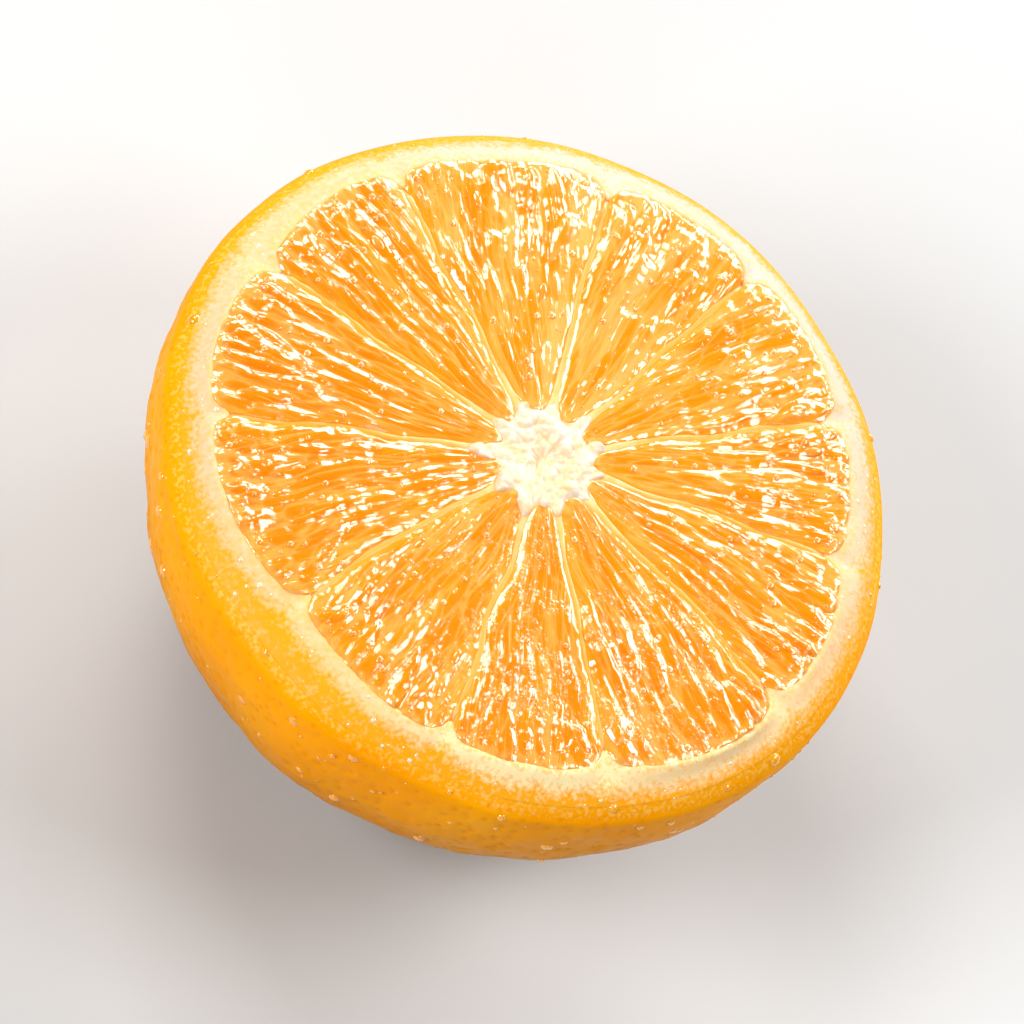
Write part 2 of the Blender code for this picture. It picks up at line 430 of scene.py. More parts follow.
class NodeBoard:
    """Adds and wires the nodes of one tree."""

    def __init__(self, tree: bpy.types.NodeTree) -> None:
        """Take the tree whose nodes are to be laid out."""
        self.tree = tree

    def add(self, kind: str, values: dict | None = None, **settings) -> Node:
        """Add a node.

        Args:
            kind: Blender's name for the kind of node.
            values: A value or another node's output for each input, by name or number.
            **settings: Properties of the node itself.

        Returns:
            The node.
        """
        node = self.tree.nodes.new(kind)
        for key, value in settings.items():
            setattr(node, key, value)
        for key, value in (values or {}).items():
            self.feed(value, node.inputs[key])
        return node

    def wire(self, source: Socket, target: Socket) -> None:
        """Wire an output to an input."""
        self.tree.links.new(source, target)

    def feed(self, value, target: Socket) -> None:
        """Wire an output to an input, or give the input a plain value."""
        if isinstance(value, Socket):
            self.wire(value, target)
        else:
            target.default_value = value

    def sum_of(self, kind: str, first, second) -> Socket:
        """Result of a sum on two numbers.

        Args:
            kind: Kind of sum, such as ADD or MULTIPLY.
            first: A number or an output.
            second: A number or an output.

        Returns:
            The output with the result.
        """
        return self.add("ShaderNodeMath", {0: first, 1: second}, operation=kind).outputs[0]

    def times(self, first, second) -> Socket:
        """Product of two numbers or outputs."""
        return self.sum_of("MULTIPLY", first, second)

    def plus(self, first, second) -> Socket:
        """Sum of two numbers or outputs."""
        return self.sum_of("ADD", first, second)

    def ranged(self, source: Socket, low: float, high: float, to_low=0.0, to_high=1.0) -> Socket:
        """Number moved from one range to another, held inside it.

        Args:
            source: The output to read.
            low: Lower end of the range read.
            high: Upper end of the range read.
            to_low: Number or output given for low.
            to_high: Number or output given for high.

        Returns:
            The output with the result.
        """
        return self.add("ShaderNodeMapRange", {
            "Value": source, "From Min": low, "From Max": high, "To Min": to_low, "To Max": to_high,
        }).outputs["Result"]


class Bench(NodeBoard):
    """Node tree of one material, with its shader and the usual patterns."""

    def __init__(self, name: str) -> None:
        """Start a material with one shader, by name."""
        self.material = bpy.data.materials.new(name)
        self.material.use_nodes = True
        super().__init__(self.material.node_tree)
        self.shader = self.tree.nodes["Principled BSDF"]

    def set_shader(self, **values) -> None:
        """Set inputs of the shader, their names written with low lines for spaces."""
        for key, value in values.items():
            self.shader.inputs[key.replace("_", " ")].default_value = value

    def place(self) -> Socket:
        """Place on the object, in metres."""
        return self.add("ShaderNodeTexCoord").outputs["Object"]

    def number(self, name: str) -> Socket:
        """Number kept with the mesh's points under a name."""
        node = self.add("ShaderNodeAttribute", attribute_name=name)
        return node.outputs["Fac"]

    def grain(self, spacing: float, detail: float = 3.0, source=None) -> Socket:
        """Cloudy noise.

        Args:
            spacing: Distance in metres from one cloud to the next.
            detail: Number of finer layers.
            source: Place to read the noise at, the place on the object if none is given.

        Returns:
            The output with a number of about 0 to 1.
        """
        return self.add("ShaderNodeTexNoise", {
            "Vector": source or self.place(), "Scale": 1.0 / spacing, "Detail": detail,
        }).outputs["Fac"]

    def wobble(self, spacing: float, reach: float) -> Socket:
        """Cloudy noise that wavers round nothing.

        Args:
            spacing: Distance in metres from one cloud to the next.
            reach: Number that the noise is multiplied by.

        Returns:
            The output with a number of about half the reach at most, up or down.
        """
        return self.times(self.sum_of("SUBTRACT", self.grain(spacing), 0.5), reach)

    def cells(self, spacing: float) -> Socket:
        """Distance to the nearest of scattered points.

        Args:
            spacing: Distance in metres from one point to the next.

        Returns:
            The output with the distance, in spacings.
        """
        return self.add("ShaderNodeTexVoronoi", {
            "Vector": self.place(), "Scale": 1.0 / spacing,
        }).outputs["Distance"]

    def stretched(self, name: str, scale: tuple[float, float, float]) -> Socket:
        """Place on a piece's own map, stretched.

        Args:
            name: Name of the map.
            scale: Stretch along each direction.

        Returns:
            The output with the stretched place.
        """
        uv_map = self.add("ShaderNodeUVMap", uv_map=name)
        return self.add("ShaderNodeMapping", {
            "Vector": uv_map.outputs["UV"], "Scale": scale,
        }).outputs["Vector"]

    def ramp(self, source, stops: tuple) -> Socket:
        """Colour read from a row of stops.

        Args:
            source: The output that says where to read.
            stops: Place and colour of each stop.

        Returns:
            The output with the colour.
        """
        node = self.add("ShaderNodeValToRGB", {"Fac": source})
        marks = node.color_ramp.elements
        while len(marks) < len(stops):
            marks.new(1.0)
        for mark, (place, colour) in zip(marks, stops):
            mark.position = place
            mark.color = (*colour, 1.0)
        return node.outputs["Color"]

    def blend(self, share, first, second, kind: str = "MIX") -> Socket:
        """Colour between two colours.

        Args:
            share: A number or an output, 0 for the first colour.
            first: A colour or an output.
            second: A colour or an output.
            kind: Way of blending.

        Returns:
            The output with the colour.
        """
        values = {0: share}
        for index, value in ((6, first), (7, second)):
            values[index] = value if isinstance(value, Socket) else (*value, 1.0)
        return self.add("ShaderNodeMix", values, data_type="RGBA", blend_type=kind).outputs[2]

    def colour(self, source) -> None:
        """Give the shader its colour."""
        self.wire(source, self.shader.inputs["Base Color"])

    def roughness(self, source) -> None:
        """Give the shader its roughness."""
        self.wire(source, self.shader.inputs["Roughness"])

    def bump(self, layers: tuple) -> None:
        """Give the shader its fine relief.

        Args:
            layers: Height output, depth in metres and strength of each layer.
        """
        normal = None
        for height, depth, strength in layers:
            values = {"Height": height, "Distance": depth, "Strength": strength}
            if normal is not None:
                values["Normal"] = normal
            normal = self.add("ShaderNodeBump", values).outputs["Normal"]
        self.wire(normal, self.shader.inputs["Normal"])
        if self.shader.inputs["Coat Weight"].default_value > 0.0:
            self.wire(normal, self.shader.inputs["Coat Normal"])


@dataclass(frozen=True)
class PeelFinish:
    """Waxy skin that turns to cut peel over the rim.

    Colours are linear and spacings in metres. The painted shade's heights are those between which
    it fades in: the skin is painted darker low on the dome, standing in for the shade under the
    half.
    """

    skin: tuple = (1.0, 0.395, 0.0)
    skin_deep: tuple = (0.97, 0.33, 0.0)
    pore: tuple = (0.88, 0.27, 0.0)
    # painted shade: dark colour for the lower dome, standing in for the shade under the half
    under: tuple = (0.30, 0.105, 0.0)
    edge: tuple = (1.0, 0.385, 0.004)
    gland: tuple = (1.0, 0.55, 0.12)
    cloud_spacing: float = 0.012
    pore_spacing: float = 0.00125
    gland_spacing: float = 0.00045
    rim_wobble: tuple = (0.0009, 0.9)
    gloss_spacing: float = 0.004
    painted_shade_heights: tuple = (0.004, 0.032)
    painted_shade_share: float = 0.92
    pore_share: float = 0.7
    gland_share: float = 0.6
    roughness: tuple = (0.30, 0.48)
    fine_spacing: float = 0.0005
    fine_depth: float = 0.00003
    dimple_spacing: float = 0.0008
    dimple_depth: float = 0.00005
    cut_depth: float = 0.0002

    def body(self, bench: Bench) -> Socket:
        """Colour of the outer skin, with its pores, and painted shade that darkens it low on the
        dome.

        Args:
            bench: Material to lay the nodes in.

        Returns:
            The output with the colour.
        """
        clouds = bench.grain(self.cloud_spacing, 4.0)
        body = bench.blend(bench.ranged(clouds, 0.35, 0.65), self.skin, self.skin_deep)
        pores = bench.ranged(bench.cells(self.pore_spacing), 0.08, 0.36, self.pore_share, 0.0)
        pored = bench.blend(pores, body, self.pore)
        place = bench.add("ShaderNodeSeparateXYZ", {0: bench.place()})
        # painted shade: blends towards the dark colour low on the dome
        low = bench.ranged(place.outputs["Z"], *self.painted_shade_heights, self.painted_shade_share, 0.0)
        return bench.blend(low, pored, self.under)

    def make(self) -> Material:
        """Make the skin's material."""
        bench = Bench("waxy_skin")
        bench.set_shader(
            Specular_IOR_Level=0.02, Coat_Weight=0.05, Coat_Roughness=0.16,
            Subsurface_Weight=0.06, Subsurface_Radius=(1.0, 0.4, 0.1), Subsurface_Scale=0.002,
        )
        rim = bench.number("rim")
        turn = bench.ranged(bench.plus(rim, bench.wobble(*self.rim_wobble)), 0.25, 1.0)
        edged = bench.blend(turn, self.body(bench), self.edge)
        glands = bench.grain(self.gland_spacing, 2.0)
        glands = bench.ranged(glands, 0.50, 0.62, 0.0, self.gland_share)
        glands = bench.times(glands, bench.ranged(rim, 0.05, 0.50))
        bench.colour(bench.blend(glands, edged, self.gland))
        gloss = bench.grain(self.gloss_spacing, 5.0)
        bench.roughness(bench.ranged(gloss, 0.3, 0.7, *self.roughness))
        cut = bench.times(bench.grain(self.fine_spacing), bench.ranged(rim, 0.1, 0.6))
        bench.bump((
            (bench.cells(self.fine_spacing), self.fine_depth, 0.25),
            (bench.grain(self.dimple_spacing, 2.0), self.dimple_depth, 0.35),
            (cut, self.cut_depth, 0.5),
        ))
        return bench.material


@dataclass(frozen=True)
class PithFinish:
    """Soft, grainy pith, yellow beside the skin and cream inside.

    Colours are linear and spacings in metres.
    """

    beside_skin: tuple = (1.0, 0.385, 0.004)
    cream: tuple = (1.0, 0.52, 0.17)
    pale: tuple = (1.0, 0.59, 0.33)
    # painted light: paler, whiter pith in some directions, and creamier pith in others
    painted_light_palest: tuple = (0.95, 0.58, 0.48)
    creamy: tuple = (1.0, 0.84, 0.46)
    beside_flesh: tuple = (1.0, 0.52, 0.15)
    grain_spacing: float = 0.0007
    grain_depth: float = 0.00008
    patch_spacing: float = 0.003
    gland_spacing: float = 0.00045
    gland_reach: float = 0.18
    rim_wobble: tuple = (0.0014, 0.6)
    flesh_share: float = 0.7
    roughness: tuple = (0.35, 0.65)
    cell_spacing: float = 0.0006
    cell_depth: float = 0.00004

    def body(self, bench: Bench, grain: Socket) -> Socket:
        """Colour of the pith away from the skin and the flesh, with painted light that makes it
        paler and creamier in a few directions round the rim.

        Args:
            bench: Material to lay the nodes in.
            grain: Output with the pith's grain.

        Returns:
            The output with the colour.
        """
        body = bench.blend(bench.ranged(grain, 0.38, 0.66), self.cream, self.pale)
        patches = bench.ranged(bench.grain(self.patch_spacing), 0.3, 0.7, 0.75, 1.0)
        # painted light: the pith is painted paler and creamier in some directions
        for name, colour in (("pale", self.painted_light_palest), ("creamy", self.creamy)):
            body = bench.blend(bench.times(patches, bench.number(name)), body, colour)
        return body

    def make(self) -> Material:
        """Make the pith's material."""
        bench = Bench("soft_pith")
        bench.set_shader(
            Specular_IOR_Level=0.15, Subsurface_Weight=0.2,
            Subsurface_Radius=(1.0, 0.8, 0.5), Subsurface_Scale=0.0008,
        )
        grain = bench.grain(self.grain_spacing, 4.0)
        glands = bench.grain(self.gland_spacing, 2.0)
        glands = bench.ranged(glands, 0.35, 0.65, self.gland_reach, -self.gland_reach)
        place = bench.plus(bench.plus(bench.number("rim"), bench.wobble(*self.rim_wobble)), glands)
        outer = bench.ranged(place, 0.45, 0.95)
        inner = bench.ranged(place, 0.0, 0.22, self.flesh_share, 0.0)
        skinward = bench.blend(outer, self.body(bench, grain), self.beside_skin)
        bench.colour(bench.blend(inner, skinward, self.beside_flesh))
        bench.roughness(bench.ranged(grain, 0.3, 0.7, *self.roughness))
        bench.bump((
            (grain, self.grain_depth, 0.3),
            (bench.cells(self.cell_spacing), self.cell_depth, 0.3),
        ))
        return bench.material


@dataclass(frozen=True)
class FleshFinish:
    """Wet juice sacs with thin pale films where they meet.

    Colours are linear and spacings in metres. Streaks, swaths and hairs lie along the sacs: the
    two numbers of each say how many there are to a metre, across a wedge and along it.
    """

    deep: tuple = (1.0, 0.235, 0.0)
    middle: tuple = (1.0, 0.285, 0.0)
    peach: tuple = (1.0, 0.44, 0.10)
    film: tuple = (1.0, 0.54, 0.14)
    # painted shade: darker orange painted into the sunk places of the flesh
    hollow: tuple = (1.0, 0.21, 0.0)
    hair: tuple = (1.0, 0.53, 0.13)
    beside_wall: tuple = (1.0, 0.37, 0.015)
    tone_stops: tuple = (0.15, 0.50, 0.95)
    streaks: tuple = (2600.0, 240.0)
    swaths: tuple = (300.0, 75.0)
    hairs: tuple = (5200.0, 150.0)
    sac_share: float = 0.30
    film_share: float = 0.40
    hollow_shade_share: float = 0.4
    hair_share: float = 0.5
    mist_share: float = 0.45
    mist_spacing: float = 0.00050
    mist_patch: float = 0.0035
    gloss_spacing: float = 0.0012
    roughness: tuple = (0.08, 0.26)
    streak_depth: float = 0.00016
    grain_spacing: float = 0.0004
    grain_depth: float = 0.00004
    mist_depth: float = 0.00007

    def along_sacs(self, bench: Bench, scale: tuple, detail: float) -> Socket:
        """Cloudy noise drawn out along the sacs.

        Args:
            bench: Material to lay the nodes in.
            scale: Clouds to a metre, across a wedge and along it.
            detail: Number of finer layers.

        Returns:
            The output with a number of about 0 to 1.
        """
        return bench.grain(1.0, detail, bench.stretched("sacs", (*scale, 1.0)))

    def mist(self, bench: Bench) -> Socket:
        """Fine dew in patches.

        Args:
            bench: Material to lay the nodes in.

        Returns:
            The output with the dew's height, from 0 to 1.
        """
        beads = bench.ranged(bench.cells(self.mist_spacing), 0.0, 0.42, 1.0, 0.0)
        round_beads = bench.sum_of("POWER", beads, 0.5)
        patches = bench.ranged(bench.grain(self.mist_patch, 2.0), 0.42, 0.58)
        return bench.times(round_beads, bench.times(patches, bench.number("mist")))

    def body(self, bench: Bench, streaks: Socket) -> Socket:
        """Colour of the sacs, from deep orange to peach, with the films between them and painted
        shade in their hollows.

        Args:
            bench: Material to lay the nodes in.
            streaks: Output with the streaks along the sacs.

        Returns:
            The output with the colour.
        """
        swaths = bench.ranged(self.along_sacs(bench, self.swaths, 2.0), 0.34, 0.66, -0.05, 0.60)
        tone = bench.plus(bench.times(bench.number("tone"), self.sac_share), swaths)
        tone = bench.plus(tone, bench.ranged(streaks, 0.25, 0.75, -0.15, 0.30))
        body = bench.ramp(tone, tuple(zip(self.tone_stops, (self.deep, self.middle, self.peach))))
        filmed = bench.blend(bench.times(bench.number("film"), self.film_share), body, self.film)
        # painted shade: the sunk places are painted darker
        sunk = bench.times(bench.number("depth"), self.hollow_shade_share)
        return bench.blend(sunk, filmed, self.hollow)

    def make(self) -> Material:
        """Make the flesh's material."""
        bench = Bench("juicy_flesh")
        bench.set_shader(
            Specular_IOR_Level=0.25, Coat_Weight=1.0, Coat_IOR=1.85, Coat_Roughness=0.02,
            Subsurface_Weight=0.4, Subsurface_Radius=(1.0, 0.35, 0.05), Subsurface_Scale=0.0025,
        )
        streaks = self.along_sacs(bench, self.streaks, 3.0)
        hairs = self.along_sacs(bench, self.hairs, 2.0)
        hairs = bench.ranged(hairs, 0.58, 0.70, 0.0, self.hair_share)
        haired = bench.blend(hairs, self.body(bench, streaks), self.hair)
        walled = bench.blend(bench.number("beside_wall"), haired, self.beside_wall)
        mist = self.mist(bench)
        bench.colour(bench.blend(bench.times(mist, self.mist_share), walled, self.hair))
        bench.roughness(bench.ranged(bench.grain(self.gloss_spacing), 0.3, 0.7, *self.roughness))
        bench.bump((
            (streaks, self.streak_depth, 0.40),
            (bench.grain(self.grain_spacing, 2.0), self.grain_depth, 0.3),
            (mist, self.mist_depth, 1.0),
        ))
        return bench.material


@dataclass(frozen=True)
class MembraneFinish:
    """Soft white core and thin golden walls. Colours are linear and spacings in metres."""

    name: str = "soft_core"
    pale: tuple = (0.79, 0.70, 0.59)
    warm: tuple = (0.92, 0.62, 0.34)
    golden: tuple = (1.0, 0.38, 0.035)
    sheen: float = 0.3
    cloud_spacing: float = 0.0018
    sunk_shade_share: float = 0.8
    roughness: tuple = (0.3, 0.6)
    grain_spacing: float = 0.0005
    grain_depth: float = 0.0001

    def make(self) -> Material:
        """Make the membrane's material."""
        bench = Bench(self.name)
        bench.set_shader(
            Specular_IOR_Level=0.4, Coat_Weight=self.sheen, Coat_Roughness=0.2,
            Subsurface_Weight=0.35, Subsurface_Radius=(1.0, 0.7, 0.35), Subsurface_Scale=0.0015,
        )
        clouds = bench.grain(self.cloud_spacing, 4.0)
        body = bench.blend(bench.ranged(clouds, 0.35, 0.62), self.warm, self.pale)
        # painted shade: the sunk places of the core and walls are painted in the warmer, darker
        # colour
        soft = bench.blend(bench.times(bench.number("depth"), self.sunk_shade_share), body, self.warm)
        bench.colour(bench.blend(bench.number("pale"), self.golden, soft))
        bench.roughness(bench.ranged(clouds, 0.3, 0.7, *self.roughness))
        bench.bump(((bench.grain(self.grain_spacing, 4.0), self.grain_depth, 0.5),))
        return bench.material


@dataclass(frozen=True)
class DropFinish:
    """Wet drops that show the colour they lie on. Colours are linear and spacings in metres."""

    name: str
    deep: tuple
    light: tuple
    cloud_spacing: float = 0.0025
    roughness: tuple = (0.04, 0.12)
    ripple: float = 0.00004

    def make(self) -> Material:
        """Make the drops' material."""
        bench = Bench(self.name)
        bench.set_shader(
            Specular_IOR_Level=0.3, Coat_Weight=1.0, Coat_IOR=1.85, Coat_Roughness=0.02,
            Subsurface_Weight=0.3, Subsurface_Radius=(1.0, 0.5, 0.2), Subsurface_Scale=0.001,
        )
        clouds = bench.grain(self.cloud_spacing, 2.0)
        bench.colour(bench.blend(bench.ranged(clouds, 0.35, 0.65), self.deep, self.light))
        bench.roughness(bench.ranged(clouds, 0.3, 0.7, *self.roughness))
        bench.bump(((clouds, self.ripple, 0.2),))
        return bench.material


@dataclass
class Skin:
    """Outer skin, from the cut rim down to the flat spot, with a hollow inside."""

    form: HalfForm
    finish: PeelFinish = field(default_factory=PeelFinish)
    columns: int = 660
    edge_rows: int = 16
    dome_rows: int = 96
    spot_rows: int = 8
    inner_rows: int = 8
    thickness: float = 0.0020
    pore_depth: float = 0.00020
    scar_radius: float = 0.0022
    scar_depth: float = 0.0005
    pore_heights: tuple = (0.0005, -0.0015)
    pore_floor_gap: tuple = (0.0002, 0.0015)
    wet_heights: tuple = (-0.022, 0.0)

    def section(self) -> tuple[np.ndarray, int]:
        """Section of the skin, from the cut rim round the outside and back inside.

        Returns:
            Radius and height of each row, and the number of rows on the outside.
        """
        form = self.form
        edge = spline_through(form.skin_edge, self.edge_rows)
        angles = np.linspace(0.0, form.flat_spot_angle(), self.dome_rows)[1:]
        dome = np.stack([form.peel_radius * np.cos(angles), -form.dome_depth * np.sin(angles)], 1)
        spot_radius = np.linspace(form.flat_spot_radius, 0.0, self.spot_rows + 1)[1:-1]
        scar = self.scar_depth * hump(spot_radius, self.scar_radius)
        spot = np.stack([spot_radius, scar - form.widest_height()], 1)
        outside = np.concatenate([edge, dome, spot])
        turn = np.linspace(pi / 2.0, 0.0, self.inner_rows + 1)[1:]
        inner_radius = form.peel_radius - self.thickness
        inside = np.stack([
            inner_radius * np.cos(turn),
            -(form.widest_height() - self.thickness) * np.sin(turn),
        ], 1)
        return np.concatenate([outside, inside]), len(outside)

    def mesh(self) -> Mesh:
        """Mesh of the skin before its pores.

        Returns:
            The mesh, with its share of the way over the rim kept with its points.
        """
        form = self.form
        section, outside = self.section()
        directions = np.linspace(0.0, 2.0 * pi, self.columns, endpoint=False)
        radius, turn = np.meshgrid(section[:, 0], directions, indexing="ij")
        height = np.repeat(section[:, 1:], self.columns, axis=1)
        stretch = 1.0 + form.peel_offset(turn, height) / form.peel_radius
        reach = radius * stretch
        rows = form.placed(reach * np.cos(turn), reach * np.sin(turn), height)
        axis = form.axis_place()
        middles = [(*axis, self.scar_depth), (*axis, self.thickness)]
        points = np.concatenate([rows.reshape(-1, 3), middles])
        upper = sheet_faces(outside, self.columns, False, True)
        lower = sheet_faces(self.inner_rows, self.columns, False, True) + outside * self.columns
        rim_loop = np.arange(self.columns)
        spot_loop = (outside - 1) * self.columns + rim_loop
        inner_loop = outside * self.columns + rim_loop
        last_loop = (outside + self.inner_rows - 1) * self.columns + rim_loop
        seam = np.append(last_loop, rim_loop)[sheet_faces(2, self.columns, False, True)]
        fans = np.concatenate([
            fan_faces(spot_loop, len(points) - 2, True),
            fan_faces(inner_loop, len(points) - 1, False),
        ])
        mesh = make_mesh("skin", points, [upper, lower, seam, fans])
        self.keep_shares(mesh, radius, height, outside)
        return mesh

    def keep_shares(self, mesh: Mesh, radius: np.ndarray, height: np.ndarray,
                    outside: int) -> None:
        """Keep where each point lies on the rim and whether it can have pores.

        Args:
            mesh: Mesh to keep the numbers with.
            radius: Distance of each point from the axis.
            height: Height of each point over the widest circle.
            outside: Number of rows on the outside.
        """
        over_rim = step_between(self.form.peel_radius, self.form.skin_edge[0][0], radius)
        rim = np.where(height > 0.0, over_rim, 0.0)
        rim = np.append(rim.ravel(), [0.0, 0.0])
        can_pore = np.zeros_like(radius)
        can_pore[:outside] = step_between(*self.pore_heights, height[:outside])
        can_pore *= step_between(*self.pore_floor_gap, height + self.form.widest_height())
        wet = np.zeros_like(radius)
        wet[:outside] = step_between(*self.wet_heights, height[:outside])
        keep_numbers(mesh, "rim", rim)
        keep_numbers(mesh, "can_pore", np.append(can_pore.ravel(), [0.0, 0.0]))
        keep_numbers(mesh, "wet", np.append(wet.ravel(), [0.0, 0.0]))

    def build(self) -> Piece:
        """Build the skin and fasten it.

        Returns:
            The skin's object.
        """
        base = show("skin_base", self.mesh())
        tree = PoreTree()
        mesh = tree.apply(base, self.finish.make(), {
            "Pore spacing": self.finish.pore_spacing,
            "Pore depth": self.pore_depth,
        })
        skin = show("skin", mesh)
        fasten(skin)
        return skin


class GrowthTree:
    """Geometry node tree that is built for one rule and applied to one mesh."""

    name = "growth"
    sizes: tuple[str, ...] = ()
    counts: tuple[str, ...] = ()
    words: tuple[str, ...] = ()

    def __init__(self) -> None:
        """Start the tree with its way in, its named inputs and its way out."""
        self.tree = bpy.data.node_groups.new(self.name, "GeometryNodeTree")
        self.board = NodeBoard(self.tree)
        self.socket("Geometry", "NodeSocketGeometry")
        self.socket("Geometry", "NodeSocketGeometry", "OUTPUT")
        for name in self.sizes:
            self.socket(name, "NodeSocketFloat")
        for name in self.counts:
            self.socket(name, "NodeSocketInt")
        for name in self.words:
            self.socket(name, "NodeSocketString")

    def socket(self, name: str, kind: str, way: str = "INPUT") -> None:
        """Add a named input or output to the tree."""
        self.tree.interface.new_socket(name, in_out=way, socket_type=kind)

    def lay_out(self, given: NodeOutputs) -> Socket:
        """Lay out the nodes of the rule.

        Args:
            given: Outputs with the mesh and the named inputs' values.

        Returns:
            The output with the finished shape.
        """
        return given["Geometry"]

    def finish(self, material: Material) -> None:
        """Lay out the whole tree and end it in plain, dressed geometry.

        Args:
            material: Material of the result.
        """
        shape = self.lay_out(self.board.add("NodeGroupInput").outputs)
        plain = self.board.add("GeometryNodeRealizeInstances", {"Geometry": shape})
        dressed = self.board.add("GeometryNodeSetMaterial", {
            "Geometry": plain.outputs["Geometry"], "Material": material})
        self.board.add("NodeGroupOutput", {"Geometry": dressed.outputs["Geometry"]})

    def apply(self, host: Piece, material: Material, values: dict) -> Mesh:
        """Grow the rule's shape on an object, which is removed.

        Args:
            host: Object whose mesh the rule starts from.
            material: Material of the result.
            values: Value of each named input.

        Returns:
            The grown shape as a plain mesh.
        """
        self.finish(material)
        modifier = host.modifiers.new(self.name, "NODES")
        modifier.node_group = self.tree
        for socket in self.tree.interface.items_tree:
            if socket.in_out == "INPUT" and socket.name in values:
                modifier[socket.identifier] = values[socket.name]
        bpy.context.view_layer.update()
        grown = host.evaluated_get(bpy.context.evaluated_depsgraph_get())
        mesh = bpy.data.meshes.new_from_object(grown)
        mesh.name = self.name
        host.modifiers.remove(modifier)
        bpy.data.objects.remove(host, do_unlink=True)
        return mesh


class PoreTree(GrowthTree):
    """Presses round pores into the skin, and makes it swell and sink a little between them."""

    name = "skin_pores"
    sizes = ("Pore spacing", "Pore depth")
    pore_edge = (0.08, 0.42)
    pore_push = (-1.0, 0.25)
    swells_a_metre = 180.0
    swell_push = 0.8

    def lay_out(self, given: NodeOutputs) -> Socket:
        """Lay out the pores.

        Args:
            given: Outputs with the mesh and the named inputs' values.

        Returns:
            The output with the pored skin.
        """
        board = self.board
        density = board.sum_of("DIVIDE", 1.0, given["Pore spacing"])
        pores = board.add("ShaderNodeTexVoronoi", {"Scale": density})
        press = board.ranged(pores.outputs["Distance"], *self.pore_edge, *self.pore_push)
        swell = board.add("ShaderNodeTexNoise", {"Scale": self.swells_a_metre, "Detail": 2.0})
        sway = board.ranged(swell.outputs["Fac"], 0.3, 0.7, -self.swell_push, self.swell_push)
        able = board.add("GeometryNodeInputNamedAttribute", {"Name": "can_pore"}, data_type="FLOAT")
        depth = board.times(board.plus(press, sway), given["Pore depth"])
        normal = board.add("GeometryNodeInputNormal")
        offset = board.add("ShaderNodeVectorMath", {
            0: normal.outputs["Normal"],
            "Scale": board.times(depth, able.outputs["Attribute"]),
        }, operation="SCALE")
        moved = board.add("GeometryNodeSetPosition", {
            "Geometry": given["Geometry"], "Offset": offset.outputs[0]})
        return moved.outputs["Geometry"]


